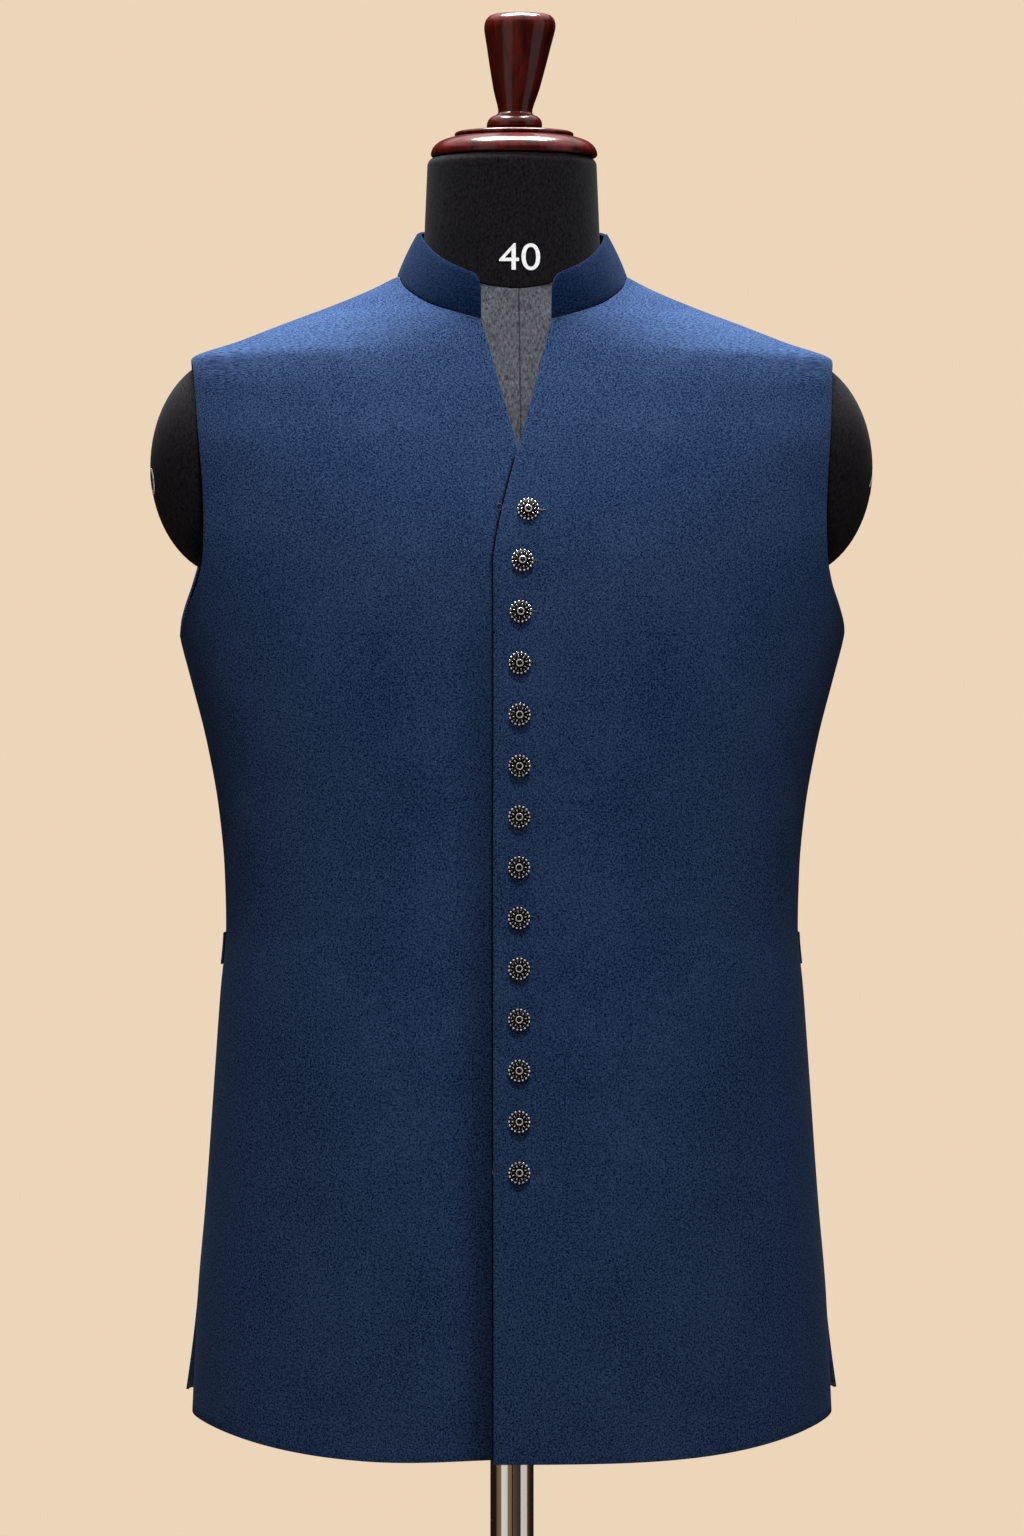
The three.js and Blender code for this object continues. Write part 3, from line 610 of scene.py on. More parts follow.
def cloth(name, columns, rows, shape, wall, finishes, edge):
    """A curved sheet with its wall and rounded edges, its flat size and its area. The first finish
    is for its outside and the last for its inside."""
    piece = started(name, bpy.ops.mesh.primitive_grid_add,
                    x_subdivisions=columns, y_subdivisions=rows, size=1)
    flat = coordinates(piece)
    across, up = np.clip(flat[:, 0] + 0.5, 0, 1), np.clip(flat[:, 1] + 0.5, 0, 1)
    points = shape(across, up) * MM
    place(piece, points)
    size = lay_grain(piece, across, up, points)
    faced_out(piece)
    area = sum(face.area for face in piece.data.polygons)
    for finish in finishes:
        piece.data.materials.append(finish)
    applied(piece, "SOLIDIFY", thickness=wall * MM, offset=-1, use_even_offset=True,
            material_offset=len(finishes) - 1, material_offset_rim=0)
    rounded(piece, edge, 2)
    return smoothed(piece), size, area


def closed_form(name, segments, rings, shape, finish):
    """A closed body: a ball laid on a shape, by angle and by share of the way up."""
    piece = started(name, BALL, segments=segments, ring_count=rings, radius=1)
    flat = coordinates(piece)
    angle = np.arctan2(flat[:, 1], flat[:, 0])
    up = 0.5 + np.arcsin(np.clip(flat[:, 2], -1, 1)) / math.pi
    place(piece, shape(angle, up) * MM)
    piece.data.materials.append(finish)
    return smoothed(piece, 60)


def turned(name, profile, finish, vertices=96, centre=0.0, lean=0.0, degrees=30):
    """A turned piece: a disc that is drawn up and resized from step to step of its profile."""
    (radius, height), *steps = profile
    piece = settled(started(name, DISC, vertices=vertices, radius=radius * MM, fill_type="NGON",
                            location=(centre * MM, 0, height * MM)))
    x = centre
    with editing(piece):
        for next_radius, next_height in steps:
            rise = next_height - height
            x += lean * rise
            bpy.ops.mesh.extrude_region_move(
                TRANSFORM_OT_translate={"value": (lean * rise * MM, 0, rise * MM)})
            grow = next_radius / radius
            bpy.ops.transform.resize(value=(grow, grow, 1),
                                     center_override=(x * MM, 0, next_height * MM))
            radius, height = next_radius, next_height
        bpy.ops.mesh.select_all(action="SELECT")
        bpy.ops.mesh.normals_make_consistent(inside=False)
    piece.data.materials.append(finish)
    return smoothed(piece, degrees)


def copied(source, name, matrix):
    """A copy with its own mesh, laid where the matrix says."""
    piece = source.copy()
    piece.data = source.data.copy()
    scene.collection.objects.link(piece)
    piece.data.transform(matrix)
    return named(piece, name)


def joined(name, pieces):
    alone(*pieces)
    bpy.ops.object.join()
    return named(pieces[0], name)


def dressed(piece, slot, *nodes):
    """The piece rides on the part's one body and stands for these nodes. Its slot is not used."""
    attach(piece, "root")
    if nodes:
        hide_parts(*nodes)
    return piece


# ---- finishes: lengths in metres, colours linear ----

YARN_PITCH = {"wool": 0.0011, "jersey": 0.0012}
SLUB_LENGTH = 0.0013
FLECK = (0.0008, 0.0010, 1.0)
CLOUDS = 14.0  # soft patches in a metre of wool
KNIT_FLECKS = 700.0
KNIT_LEAN = 0.35  # carries the knit's wales on round the sides
SPREAD = (0.3, 0.7)  # the values that most of a noise lies between
# How much of each goes into the wool's mix of dark and light.
WOOL_MIX = {"slubs": (0.38, 0.62, -0.1, 0.6), "fibres": 0.5, "yarns": 0.08,
            "clouds": (*SPREAD, -0.08, 0.08)}
KNIT_MIX = {"flecks": (0.32, 0.68), "yarns": 0.12}
SEAM_LINE = (0.0003, 0.0008, 0.4, 1.0)  # from and to, in metres off the seam, and how much light
RELIEF = 0.0002
FINE_RELIEF = 0.0001
# Painted shade on the under front beside the lap: a thin painted shadow line along the lap's edge
# and a soft painted shade where the cloth runs in below it, each with its reach from the lap's
# edge and the heights over which it fades out.
LAP_EDGE_PAINTED_SHADOW = {"reach": (0.0004, 0.0028), "dark": 0.92, "fade": (1.345, 1.354)}
LAP_HOLLOW_PAINTED_SHADE = {"reach": (0.0, 0.032), "heights": (0.7, 1.3), "dark": (0.6, 0.3), "fade": (1.2, 1.29)}


def new_finish(name):
    material = bpy.data.materials.new(name)
    material.use_nodes = True
    return material, material.node_tree


def plug(tree, socket, value):
    """Links another node's socket to this one, or sets this one to a plain value."""
    if isinstance(value, bpy.types.NodeSocket):
        tree.links.new(value, socket)
    else:
        socket.default_value = value


def put(tree, kind, settings=None, **inputs):
    """A new node with its settings, and its inputs by name, where _ stands for a space."""
    node = tree.nodes.new("ShaderNode" + kind)
    for key, value in (settings or {}).items():
        setattr(node, key, value)
    for key, value in inputs.items():
        name = key.replace("_", " ")
        plug(tree, next(s for s in node.inputs if s.name == name and s.enabled), value)
    return node


def sums(tree, operation, first, second=0.0):
    node = put(tree, "Math", {"operation": operation})
    for socket, value in zip(node.inputs, (first, second)):
        plug(tree, socket, value)
    return node.outputs[0]


def times(tree, first, second):
    return sums(tree, "MULTIPLY", first, second)


def plus(tree, first, second, weight):
    """The first value and a weighted second one together."""
    return sums(tree, "ADD", first, times(tree, second, weight))


def shade(tree, share, *dark_and_light):
    """A colour between a dark and a light one, by a share."""
    colours = [value if isinstance(value, bpy.types.NodeSocket) else (*value, 1)
               for value in dark_and_light]
    node = put(tree, "Mix", {"data_type": "RGBA"}, Factor=share, A=colours[0], B=colours[1])
    return next(s for s in node.outputs if s.enabled)


def darkened(tree, colour, share):
    return put(tree, "VectorMath", {"operation": "SCALE"}, Vector=colour, Scale=share).outputs[0]


def stretched(tree, value, low, high, to_low=0.0, to_high=1.0, kind="LINEAR"):
    """The value laid from one range onto another."""
    return put(tree, "MapRange", {"interpolation_type": kind}, Value=value, From_Min=low,
               From_Max=high, To_Min=to_low, To_Max=to_high).outputs[0]


def laid_on(tree, which="Object"):
    return put(tree, "TexCoord").outputs[which]


def split(tree, coordinate):
    return put(tree, "SeparateXYZ", Vector=coordinate).outputs


def drawn_out(tree, coordinate, scale):
    return put(tree, "Mapping", Vector=coordinate, Scale=scale).outputs[0]


def noise(tree, coordinate, scale, detail, **more):
    return put(tree, "TexNoise", Vector=coordinate, Scale=scale, Detail=detail, **more).outputs[0]


def crossed_yarns(tree, u, v, pitch):
    """The height of a plain weave, from -1 to 1, whose yarns lie this many metres apart."""
    return times(tree, *(sums(tree, "SINE", times(tree, along, 2 * math.pi / pitch))
                         for along in (u, v)))


def finished(material, colour, height, strength, relief, **fixed):
    """Plugs colour and relief into the shader, and sets its other sockets by name."""
    tree = material.node_tree
    shader = tree.nodes["Principled BSDF"]
    bump = put(tree, "Bump", Strength=strength, Distance=relief, Height=height)
    tree.links.new(colour, shader.inputs["Base Color"])
    tree.links.new(bump.outputs[0], shader.inputs["Normal"])
    for name, value in fixed.items():
        plug(tree, shader.inputs[name.replace("_", " ")], value)
    return material


def painted_shade_beside_lap(tree):
    """The share of colour that the under front keeps under painted shade beside the lap's edge."""
    x, _, height = split(tree, laid_on(tree))
    swing = stretched(tree, height, LAP_STRAIGHT_TOP * MM, CROSSING * MM)
    lap = sums(tree, "SUBTRACT", 1.0, sums(tree, "POWER", swing, LAP_SWING))
    beside = sums(tree, "SUBTRACT", times(tree, lap, -LAP * MM), x)
    edge_painted_shadow = stretched(tree, beside, *LAP_EDGE_PAINTED_SHADOW["reach"], LAP_EDGE_PAINTED_SHADOW["dark"], 0.0, "SMOOTHSTEP")
    edge_painted_shadow = times(tree, edge_painted_shadow, stretched(tree, height, *LAP_EDGE_PAINTED_SHADOW["fade"], 1.0, 0.0))
    hollow_painted_shade = stretched(tree, beside, *LAP_HOLLOW_PAINTED_SHADE["reach"], 1.0, 0.0, "SMOOTHSTEP")
    hollow_painted_shade = times(tree, hollow_painted_shade, stretched(tree, height, *LAP_HOLLOW_PAINTED_SHADE["heights"], *LAP_HOLLOW_PAINTED_SHADE["dark"]))
    hollow_painted_shade = times(tree, hollow_painted_shade, stretched(tree, height, *LAP_HOLLOW_PAINTED_SHADE["fade"], 1.0, 0.0))
    return sums(tree, "SUBTRACT", 1.0, sums(tree, "MAXIMUM", edge_painted_shadow, hollow_painted_shade))


def wool(name, dark, light, under_lap=False):
    """Suiting of mixed dark and light fibres."""
    material, tree = new_finish(name)
    uv = laid_on(tree, "UV")
    u, v, _ = split(tree, uv)
    yarns = crossed_yarns(tree, u, v, YARN_PITCH["wool"])
    slubs = noise(tree, uv, 1 / SLUB_LENGTH, 1.0, Roughness=0.75)
    clouds = noise(tree, uv, CLOUDS, 2.0)
    flecks = put(tree, "VectorMath", {"operation": "SNAP"}, Vector=uv)
    flecks.inputs[1].default_value = FLECK
    fibres = put(tree, "TexWhiteNoise", {"noise_dimensions": "2D"}, Vector=flecks.outputs[0])
    share = stretched(tree, slubs, *WOOL_MIX["slubs"])
    share = plus(tree, share, fibres.outputs[0], WOOL_MIX["fibres"])
    share = plus(tree, share, yarns, WOOL_MIX["yarns"])
    share = sums(tree, "ADD", share, stretched(tree, clouds, *WOOL_MIX["clouds"]))
    colour = shade(tree, share, dark, light)
    # The under front is darkened by painted shade beside the lap's edge.
    if under_lap:
        colour = darkened(tree, colour, painted_shade_beside_lap(tree))
    return finished(material, colour, plus(tree, slubs, yarns, 0.5), 0.35, RELIEF, Roughness=0.9,
                    Specular_IOR_Level=0.03, Sheen_Weight=0.04, Sheen_Roughness=0.45,
                    Sheen_Tint=(0.35, 0.5, 0.9, 1))


def satin(name, dark, light):
    """Smooth thread or lining, with fine lines along it."""
    material, tree = new_finish(name)
    threads = noise(tree, drawn_out(tree, laid_on(tree, "UV"), (300.0, 2500.0, 1.0)), 1.0, 2.0)
    return finished(material, shade(tree, threads, dark, light), threads, 0.15, FINE_RELIEF,
                    Roughness=0.55, Specular_IOR_Level=0.15)


def jersey(name, dark, light, streak=1.0, seam=None):
    """Knitted cover cloth: fine wales up the form with lighter flecks along them, and a darker
    line where a front seam lies this far from the centre line."""
    material, tree = new_finish(name)
    on_piece = laid_on(tree)
    x, y, z = split(tree, on_piece)
    yarns = crossed_yarns(tree, plus(tree, x, y, KNIT_LEAN), z, YARN_PITCH["jersey"])
    lengthwise = (KNIT_FLECKS, KNIT_FLECKS, KNIT_FLECKS / (1 + streak))
    flecks = noise(tree, drawn_out(tree, on_piece, lengthwise), 1.0, 4.0, Roughness=0.7)
    share = plus(tree, stretched(tree, flecks, *KNIT_MIX["flecks"]), yarns, KNIT_MIX["yarns"])
    colour = shade(tree, share, dark, light)
    if seam is not None:
        off = sums(tree, "ABSOLUTE", sums(tree, "SUBTRACT", x, seam))
        colour = darkened(tree, colour, stretched(tree, off, *SEAM_LINE))
    return finished(material, colour, plus(tree, flecks, yarns, 0.5), 0.3, RELIEF, Roughness=0.9,
                    Specular_IOR_Level=0.04, Sheen_Weight=0.015, Sheen_Roughness=0.5)


def lacquered_wood(name, dark, light):
    material, tree = new_finish(name)
    drawn = drawn_out(tree, laid_on(tree), (60.0, 60.0, 7.0))
    grain = noise(tree, drawn, 2.2, 6.0, Roughness=0.6, Distortion=0.6)
    pores = stretched(tree, noise(tree, drawn, 22.0, 2.0), 0.35, 0.6, 0.6, 1.0)
    share = times(tree, stretched(tree, grain, *SPREAD), pores)
    return finished(material, shade(tree, share, dark, light), grain, 0.08, RELIEF, Roughness=0.28,
                    Specular_IOR_Level=0.1, Coat_Weight=0.35, Coat_Roughness=0.03, Coat_IOR=1.45)


def metal(name, dark, light, roughness, spots=900.0, relief=0.1, drawn=(1.0, 1.0, 1.0)):
    """Bright or dull metal: patches of two near colours that are also more or less rough."""
    material, tree = new_finish(name)
    patches = noise(tree, drawn_out(tree, laid_on(tree), drawn), spots, 3.0)
    colour = shade(tree, stretched(tree, patches, *SPREAD), dark, light)
    return finished(material, colour, patches, relief, FINE_RELIEF, Metallic=1.0,
                    Roughness=stretched(tree, patches, *SPREAD, *roughness))


def plain_coat(name, dark, light, roughness, scale, relief, worn=None):
    """Paint, print or floor: two near colours in patches, and a worn colour where it is rubbed."""
    material, tree = new_finish(name)
    on_piece = laid_on(tree)
    patches = noise(tree, on_piece, scale, 4.0)
    colour = shade(tree, stretched(tree, patches, 0.35, 0.65), dark, light)
    if worn:
        rubbed = noise(tree, on_piece, scale * 1.7, 5.0, Roughness=0.75)
        colour = shade(tree, stretched(tree, rubbed, 0.62, 0.70), colour, worn)
    return finished(material, colour, patches, relief, RELIEF, Roughness=roughness)


WOOL = np.array([[0.0003, 0.0045, 0.0262], [0.0252, 0.0480, 0.1030]])  # dark and light fibres
# The collar's wool is the coat's wool darkened with painted shade, for the little light that falls
# on the upright collar.
COLLAR_WOOL_PAINTED_SHADE = WOOL * [0.24, 0.34, 0.42]
navy_wool = wool("navy_wool", *WOOL)
# The under front's wool, with painted shade beside the lap's edge.
under_wool = wool("navy_wool_under_lap", *WOOL, under_lap=True)
collar_wool_painted_shade = wool("navy_wool_collar_painted_shade", *COLLAR_WOOL_PAINTED_SHADE)
navy_satin = satin("navy_satin_lining", (0.004, 0.006, 0.014), (0.007, 0.011, 0.024))
black_jersey = jersey("black_jersey", (0.0004, 0.0003, 0.0004), (0.0125, 0.0112, 0.0136))
grey_jersey = jersey("heather_grey_jersey", (0.008, 0.0087, 0.0105), (0.070, 0.075, 0.087),
                     streak=2.0, seam=0.0022)
mahogany = lacquered_wood("lacquered_mahogany", (0.009, 0.0007, 0.0006), (0.066, 0.0046, 0.0030))
chrome = metal("bright_chrome", (0.55, 0.54, 0.53), (0.66, 0.65, 0.64), (0.05, 0.09),
               spots=40.0, relief=0.02, drawn=(1, 1, 0.05))
silver = metal("antique_silver", (0.26, 0.27, 0.29), (0.92, 0.94, 0.98), (0.13, 0.24))
oxide = metal("dark_oxide", (0.003, 0.003, 0.004), (0.016, 0.015, 0.017), (0.42, 0.6))
enamel = plain_coat("black_satin_enamel", (0.010, 0.010, 0.011), (0.016, 0.016, 0.018),
                    0.42, 300.0, 0.05)
white_print = plain_coat("white_print", (0.62, 0.62, 0.63), (0.80, 0.80, 0.80), 0.7, 700.0, 0.2,
                         worn=(0.05, 0.05, 0.055))
thread = satin("buttonhole_thread", (0.006, 0.013, 0.032), (0.019, 0.035, 0.075))
# Painted shadow: the dark finish of the flat pieces that stand for the openings of slits and holes.
slit_shadow = satin("buttonhole_slit_painted_shadow", (0.002, 0.003, 0.006), (0.004, 0.006, 0.010))
pale_floor = plain_coat("pale_floor", (0.44, 0.392, 0.342), (0.45, 0.400, 0.350), 0.7, 3.0, 0.0)

# ---- the coat ----

# Each sheet's node, columns and rows, shape, wall, finishes, rounding, and what it rests on.
COAT_SHEETS = {
    "coat_front_left": ("front_left", 56, 124, front_points(1, False), CLOTH_WALL,
                        [navy_wool, navy_satin], 0.6, "form_torso"),
    "coat_front_right": ("front_right", 56, 124, front_points(-1, True), CLOTH_WALL,
                         [under_wool, navy_satin], 0.6, "form_torso"),
    "coat_back": ("back", 84, 124, back_points, CLOTH_WALL,
                  [navy_wool, navy_satin], 0.6, "form_torso"),
    "coat_collar": ("collar", 150, 10, collar_points, COLLAR_WALL,
                    [collar_wool_painted_shade, navy_satin], 1.2, "coat_back"),
    "coat_half_belt": ("back_belt", 84, 4, belt_points, BELT_WALL, [navy_wool], 0.72, "coat_back"),
}
for name, (node, columns, rows, shape, wall, finishes, edge, rests_on) in COAT_SHEETS.items():
    piece, size, area = cloth(name, columns, rows, shape, wall, finishes, edge)
    dressed(piece, "coat_cloth", node)

# ---- buttons and buttonholes ----

BUTTON_COUNT = 14
FIRST_BUTTON = 1309.6
BUTTON_PITCH = 35.5
BUTTON_STRAY = [6.4, 2.1, 0.7]  # the top ones sit off the centre line, where the lap swings over
BUTTON_TURN = 0.19  # radians from one of the seven ways that the buttons are sewn on to the next
BUTTON_TURNS = 7
HOLE_ASIDE = 7.6
RIM_BEADS = 16
PETALS = 8
EYELET = {"x": -13.4, "z": 1312.6}
STUD = {"x": -14.6, "z": 848.6, "radius": 4.2, "thick": 0.44, "sunk": 0.31}


def seat(x, height, out=SEAM_GAP):
    """The place on the left front at this distance from the centre line, with Z off the cloth."""
    x, height = np.array(float(x)), np.array(float(height))
    angle = angle_at(x, height, -1)
    normal = Vector(off_rings(COAT, angle, height))
    across = Vector((1, 0, 0))
    across = (across - normal * across.dot(normal)).normalized()
    turn = Matrix((across, normal.cross(across), normal)).transposed().to_4x4()
    return Matrix.Translation((Vector(on_rings(COAT, angle, height)) + normal * out) * MM) @ turn


def around(piece, count, start=0.0):
    """The piece's copies, evenly round the Z axis, in its stead."""
    copies = [copied(piece, piece.name, Matrix.Rotation(start + k * 2 * math.pi / count, 4, "Z"))
              for k in range(count)]
    bpy.data.objects.remove(piece)
    return copies


def small(name, add, finish, at=(0, 0, 0), scale=(1, 1, 1), **how):
    piece = started(name, add, location=[v * MM for v in at], **how)
    piece.scale = scale
    settled(piece).data.materials.append(finish)
    return smoothed(piece, 60)


def ball(name, finish, radius, at, scale=(1, 1, 1), segments=10, rings=7):
    return small(name, BALL, finish, at, scale,
                 segments=segments, ring_count=rings, radius=radius * MM)


def ring(name, finish, radius, wire, height):
    return small(name, TORUS, finish, (0, 0, height), major_segments=24, minor_segments=8,
                 major_radius=radius * MM, minor_radius=wire * MM)


shell = turned("button_shell", [
    (2.2, 0), (2.2, 2.4), (5.2, 2.6), (7.0, 3.0), (7.5, 3.5), (7.4, 4.2), (6.6, 5.0), (5.0, 5.7),
    (3.2, 6.1), (2.0, 6.2)], oxide, vertices=32, degrees=60)
rim_bead = ball("rim_bead", silver, 0.98, (7.0, 0, 4.1))
petal = ball("petal", silver, 0.95, (4.6, 0, 5.55), (1.0, 0.42, 0.6))
rib = ball("rib", silver, 0.7, (5.5, 0, 5.3), (0.7, 0.35, 0.5), 8, 6)
inner_ring = ring("inner_ring", silver, 2.15, 0.55, 6.5)
centre_bead = ball("centre_bead", oxide, 1.25, (0, 0, 6.5), (1, 1, 0.9), 14, 9)
button = joined("button_pattern", [
    shell, inner_ring, centre_bead, *around(rim_bead, RIM_BEADS), *around(petal, PETALS),
    *around(rib, PETALS, math.pi / PETALS)])

welt = ball("welt", thread, 5.6, (0, 0, 0.1), (1, 0.2, 0.09), 20, 8)
# The slit is a flat dark ball of painted shadow on the welt.
slit = ball("slit", slit_shadow, 4.9, (0, 0, 0.42), (1, 0.1, 0.06), 16, 6)
buttonhole = joined("buttonhole_pattern", [welt, slit])

holes = []
for k in range(BUTTON_COUNT):
    stray = BUTTON_STRAY[k] if k < len(BUTTON_STRAY) else 0.0
    height = FIRST_BUTTON - k * BUTTON_PITCH
    number = f"{k + 1:02d}"
    sewn = Matrix.Rotation(BUTTON_TURN * (k * 5 % BUTTON_TURNS), 4, "Z")
    made = copied(button, f"coat_button_{number}", seat(stray, height) @ sewn)
    dressed(made, "button_metal", f"button_{number}")
    holes.append(copied(buttonhole, f"hole_{number}", seat(stray + HOLE_ASIDE, height, 0.0)))
for pattern in (button, buttonhole):
    bpy.data.objects.remove(pattern)
dressed(joined("coat_buttonholes", holes), "coat_cloth")

# A worked eyelet beside the top button, its hole a dark disc of painted shadow, and a press stud at
# the lap's edge beside the last one.
rim = ring("rim", thread, 2.2, 0.35, 0.10)
dark = ball("dark", slit_shadow, 2.1, (0, 0, 0.12), (1, 1, 0.10), 16, 6)
eyelet = joined("coat_eyelet", [rim, dark])
eyelet.data.transform(seat(EYELET["x"], EYELET["z"], -TUCK_IN))
dressed(eyelet, "coat_cloth")
stud = small("coat_press_stud", bpy.ops.mesh.primitive_cylinder_add, silver, vertices=40,
             radius=STUD["radius"] * MM, depth=STUD["thick"] * MM)
stud.data.transform(seat(STUD["x"], STUD["z"], -CLOTH_WALL - STUD["sunk"]))
dressed(stud, "button_metal")

# ---- the dress form ----

ARM_CAP = {"x": 200, "z": 1345, "reach": 58, "depth": 53, "rise": 79, "edge": 1.2}
NUMBER = {"width": 29.6, "height": 19.0, "thick": 0.15, "lift": 0.12}
NUMBER_ON_NECK = {"x": 3.0, "z": 1490.6}
NUMBER_ON_CAP = 1334.0
# Where the number is cut so that it can bend.
CUTS = {(1, 0, 0): range(-13, 14, 2), (0, 1, 0): range(-6, 7, 3)}

torso = closed_form("torso_cover", 160, 150, torso_points, grey_jersey)
neck = closed_form("neck_cover", 96, 60, neck_points, black_jersey)
dressed(torso, "form_grey_cloth", "form_torso")
dressed(neck, "form_cloth", "form_neck")


def arm_cap(side, mirror):
    """A covered dome: a stretched ball, cut flat where it meets the torso's side."""
    cap = started(f"cap_cover_{side}", BALL, segments=72, ring_count=40, radius=1,
                  location=(mirror * ARM_CAP["x"] * MM, 0, ARM_CAP["z"] * MM))
    cap.scale = [ARM_CAP[way] * MM for way in ("reach", "depth", "rise")]
    with editing(settled(cap)):
        bpy.ops.mesh.bisect(plane_co=(mirror * (ARM_PLATE + SEAM_GAP) * MM, 0, 0),
                            plane_no=(mirror, 0, 0), use_fill=True, clear_inner=True)
    cap.data.materials.append(black_jersey)
    rounded(cap, ARM_CAP["edge"], 3)
    smoothed(cap, 40)
    dressed(cap, "form_cloth", f"form_cap_{side}")


def size_number(name, wrap):
    """The plain size number, cut in strips so that it can bend, and laid on a surface by wrap."""
    alone()
    bpy.ops.object.text_add(location=(0, 0, 0))
    letters = bpy.context.object
    letters.data.body = "40"
    letters.data.extrude = 0.004
    alone(letters)
    bpy.ops.object.convert(target="MESH")
    piece = named(bpy.context.object, name)
    points = coordinates(piece)
    low, high = points.min(0), points.max(0)
    place(piece, (points - (low + high) / 2) / (high - low)
          * [NUMBER["width"], NUMBER["height"], NUMBER["thick"]])
    with editing(piece):
        for way, steps in CUTS.items():
            for step in steps:
                bpy.ops.mesh.select_all(action="SELECT")
                bpy.ops.mesh.bisect(plane_co=[step * part for part in way], plane_no=way)
        bpy.ops.mesh.select_all(action="SELECT")
        bpy.ops.mesh.remove_doubles(threshold=0.001)
        bpy.ops.mesh.normals_make_consistent(inside=False)
    points = coordinates(piece)
    place(piece, wrap(points[:, 0], points[:, 1], points[:, 2] + NUMBER["lift"]) * MM)
    piece.data.materials.clear()
    piece.data.materials.append(white_print)
    dressed(piece, "form_cloth")


def on_neck(x, y, out):
    height = NUMBER_ON_NECK["z"] + y
    share = np.clip((height - NECK_FRONT) / (NECK_TOP - NECK_TOP_ROUND - NECK_FRONT), 0, 1)
    radius = mix(NECK_RADIUS["seam"], NECK_RADIUS["top"], share) + out
    turn = (x + NUMBER_ON_NECK["x"]) / NECK_RADIUS["seam"]
    return np.stack([radius * np.sin(turn), -radius * np.cos(turn), height], -1)


def on_cap(mirror):
    def wrap(x, y, out):
        along, height = mirror * x, NUMBER_ON_CAP + y
        fall = (1 - (along / ARM_CAP["depth"]) ** 2
                - ((height - ARM_CAP["z"]) / ARM_CAP["rise"]) ** 2)
        reach = ARM_CAP["x"] + ARM_CAP["reach"] * np.sqrt(fall) + out
        return np.stack([mirror * reach, along, height], -1)
    return wrap


SIDES = {"left": 1, "right": -1}
for side, mirror in SIDES.items():
    arm_cap(side, mirror)
size_number("size_number_neck", on_neck)
for side, mirror in SIDES.items():
    size_number(f"size_number_{side}", on_cap(mirror))

# ---- wood and metal ----

WOOD_CENTRE = 1.5
HANDLE_LEAN = 0.055

neck_cap = turned("wood_disc", [
    (57.0, 1565.8), (58.6, 1566.2), (59.3, 1567.0), (59.5, 1568.2), (59.1, 1570.2),
    (58.0, 1572.6), (56.0, 1574.9), (53.2, 1576.9), (50.2, 1578.2), (46.8, 1579.3),
    (44.2, 1579.9), (41.6, 1580.1), (41.6, 1580.7), (42.3, 1581.2), (42.5, 1581.9),
    (42.3, 1582.8), (41.7, 1583.5), (40.6, 1583.9), (38.0, 1584.0)], mahogany, centre=WOOD_CENTRE)
dressed(neck_cap, "dark_wood", "neck_cap")
handle = turned("wood_handle", [
    (17.0, 1584.3), (18.3, 1585.0), (19.3, 1586.5), (19.8, 1588.3), (19.7, 1590.2),
    (19.0, 1592.2), (17.9, 1593.7), (16.6, 1594.7), (15.6, 1595.3), (14.2, 1595.8),
    (12.9, 1596.6), (12.2, 1597.7), (12.3, 1600.0), (13.3, 1604.0), (14.9, 1609.0),
    (16.6, 1615.0), (18.8, 1625.0), (20.9, 1635.0), (22.9, 1645.0), (24.6, 1653.0),
    (25.3, 1656.5), (25.5, 1659.0), (25.3, 1661.5), (24.6, 1663.8), (23.4, 1665.6),
    (21.8, 1667.0), (19.6, 1667.8), (17.5, 1668.0)], mahogany, centre=WOOD_CENTRE, lean=HANDLE_LEAN)
dressed(handle, "dark_wood", "handle")
pole = turned("chromed_pole", [
    (15.0, 30.3), (15.5, 30.8), (15.5, 779.2), (15.0, 779.7)], chrome, vertices=72)
dressed(pole, "pole_metal", "pole")
foot = turned("round_foot", [
    (191.0, 0), (193.6, 0.6), (195.0, 2.4), (195.0, 7.0), (194.0, 9.4), (191.0, 11.0),
    (160.0, 12.6), (110.0, 14.8), (60.0, 17.0), (42.0, 18.6), (35.0, 20.4), (31.5, 23.2),
    (30.0, 26.4), (28.6, 29.2), (26.0, 30.0), (18.0, 30.0)], enamel, vertices=128)
dressed(foot, "base_metal", "base")

# ---- studio ----

FLOOR = {"radius": 2.1, "z": -0.0005}
# What bright metal and lacquer mirror, by degrees round the studio from the fronts' side.
UNLIT = (0.02, 0.014, 0.01)
BLACKOUT = (0.012, 0.01, 0.01)
STUDIO_ROUND = [
    (-180, UNLIT), (-98, UNLIT), (-84, (0.26, 0.15, 0.08)), (-62, (0.32, 0.19, 0.105)),
    (-60, (1.1, 1.06, 1.0)), (-27, (1.0, 0.96, 0.9)), (-25, (0.36, 0.22, 0.13)),
    (-4, (0.3, 0.185, 0.11)), (-3, BLACKOUT), (2, BLACKOUT), (3, (0.16, 0.095, 0.06)),
    (22, (0.09, 0.062, 0.045)), (44, (0.04, 0.04, 0.042)), (46, (1.0, 0.9, 0.86)),
    (84, (0.9, 0.8, 0.76)), (87, (0.13, 0.065, 0.035)), (115, UNLIT), (180, UNLIT),
]
CEILING_MIRRORED = (1.55, 1.52, 1.52)
CEILING_FROM = (0.42, 0.62)  # how steeply up the ceiling's brightness sets in
AIR_SEEN = (0.84, 0.67, 0.49, 1)
AIR_FILL = (0.012, 0.0105, 0.0095, 1)
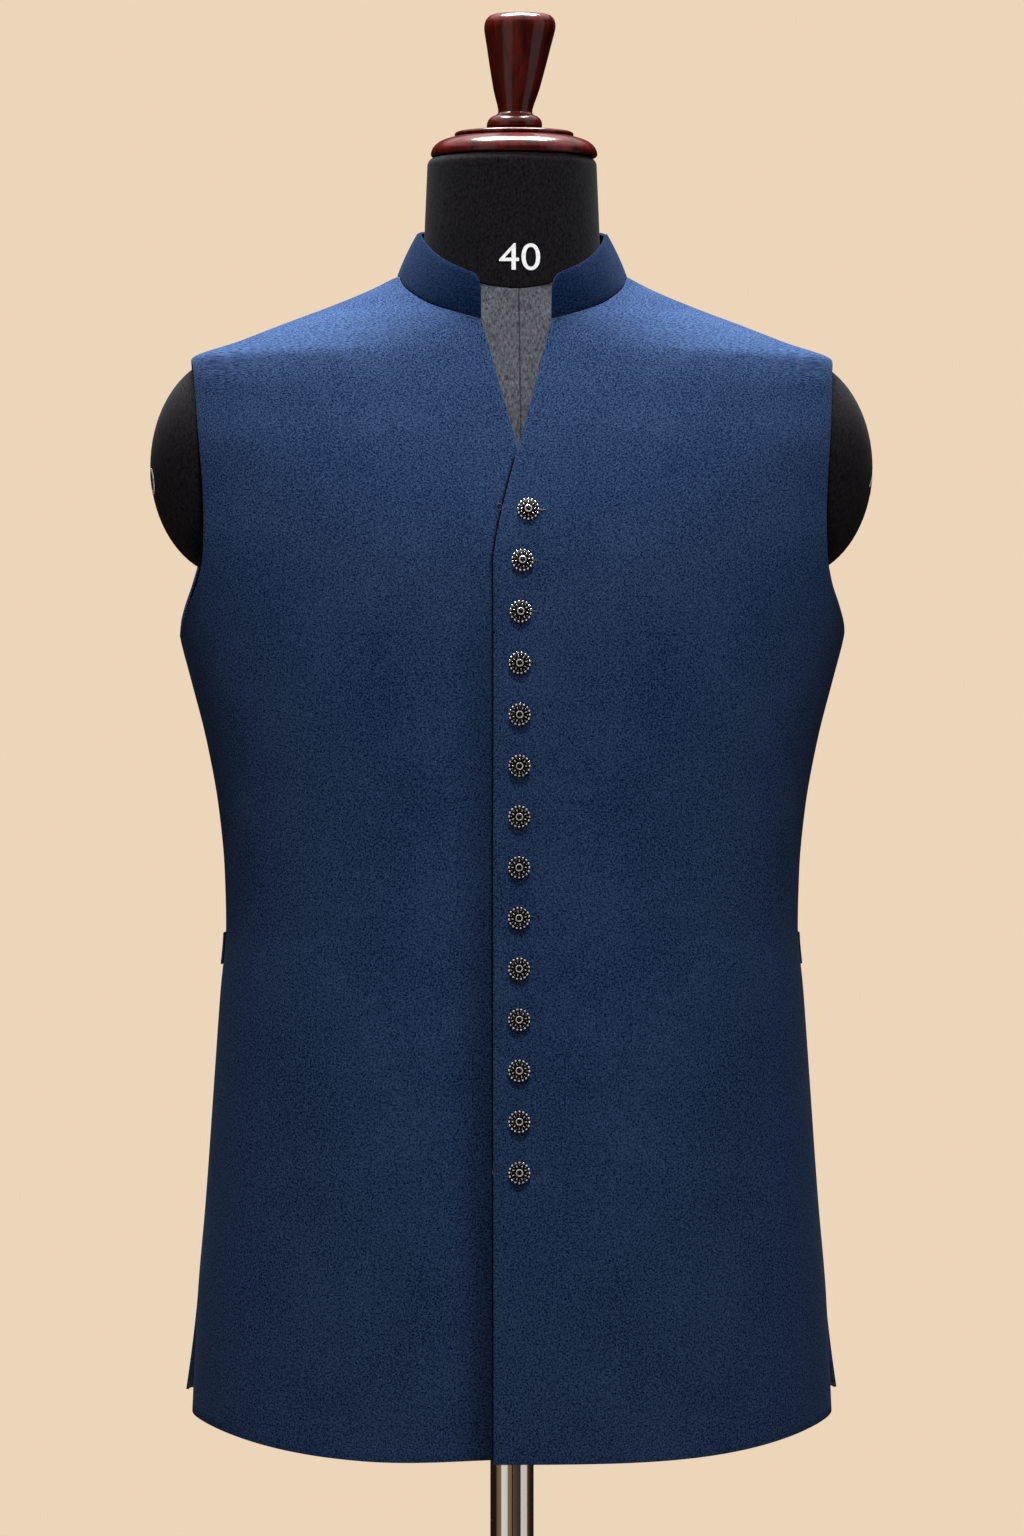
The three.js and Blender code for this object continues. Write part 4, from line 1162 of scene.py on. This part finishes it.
# Each lamp's place, what it faces, its size, its watts, and whether bright surfaces mirror it.
SOFTBOXES = [
    ("top_softbox", (0, 0.12, 2.5), (0, 0, 1.4), (0.9, 0.5), 110, True),
    ("front_strip", (-0.08, -1.00, 1.48), (-0.02, 0, 1.05), (0.12, 0.45), 1.65, False),
    ("front_strip", (0.08, -1.00, 1.48), (0.02, 0, 1.05), (0.12, 0.45), 1.65, False),
    ("low_strip", (0, -1.15, 0.85), (0, 0, 1.00), (0.20, 0.40), 0.9, False),
    ("front_key", (0, -2.0, 3.4), (0, 0, 0.9), (0.35, 0.35), 72, False),
]

floor = settled(started("studio_floor", DISC, vertices=96, radius=FLOOR["radius"],
                        fill_type="NGON", location=(0, 0, FLOOR["z"])))
floor.data.materials.append(pale_floor)

world = bpy.data.worlds.new("studio_air")
scene.world = world
world.use_nodes = True
air = world.node_tree
air.nodes.clear()
x, y, z = split(air, laid_on(air, "Generated"))
turned_by = sums(air, "ARCTAN2", x, times(air, y, -1.0))
around_studio = put(air, "ValToRGB", Fac=stretched(air, turned_by, -math.pi, math.pi))
stops = around_studio.color_ramp.elements
for degrees, _ in STUDIO_ROUND[1:-1]:
    stops.new((degrees + 180) / 360)
for stop, (degrees, colour) in zip(stops, STUDIO_ROUND):
    stop.position = (degrees + 180) / 360
    stop.color = (*colour, 1)
overhead = stretched(air, z, *CEILING_FROM, kind="SMOOTHSTEP")
mirrored_colour = shade(air, overhead, around_studio.outputs[0], CEILING_MIRRORED)
seen, lit, mirrored = (put(air, "Background", Color=colour)
                       for colour in (AIR_SEEN, AIR_FILL, mirrored_colour))
path = put(air, "LightPath").outputs


def either(share, first, second):
    """The first shader or the second one, by a share."""
    node = put(air, "MixShader")
    for socket, value in zip(node.inputs, (share, first.outputs[0], second.outputs[0])):
        air.links.new(value, socket)
    return node


rays = either(path["Is Camera Ray"], either(path["Is Glossy Ray"], lit, mirrored), seen)
air.links.new(rays.outputs[0], put(air, "OutputWorld").inputs[0])

for name, place_at, aim, size, watts, mirrors in SOFTBOXES:
    light = bpy.data.lights.new(name, "AREA")
    light.shape = "RECTANGLE"
    light.size, light.size_y = size
    light.energy = watts
    lamp = bpy.data.objects.new(name, light)
    lamp.location = place_at
    lamp.rotation_euler = (Vector(aim) - Vector(place_at)).to_track_quat("-Z", "Y").to_euler()
    lamp.visible_glossy = mirrors
    scene.collection.objects.link(lamp)

# ---- camera ----

EYE_DISTANCE = 5.0
EYE_HEIGHT = 1.130
EYE_AZIMUTH = -2.3
FRAME_HEIGHT = 1.0967  # how much of the object's own plane the picture's long side takes in

eye = bpy.data.cameras.new("camera")
eye.sensor_width = 36
eye.lens = eye.sensor_width * EYE_DISTANCE / FRAME_HEIGHT
camera = bpy.data.objects.new("camera", eye)
azimuth = math.radians(EYE_AZIMUTH)
camera.location = (EYE_DISTANCE * math.sin(azimuth), -EYE_DISTANCE * math.cos(azimuth), EYE_HEIGHT)
camera.rotation_euler = (math.pi / 2, 0, azimuth)
scene.collection.objects.link(camera)
scene.camera = camera
scene.view_settings.view_transform = "Standard"
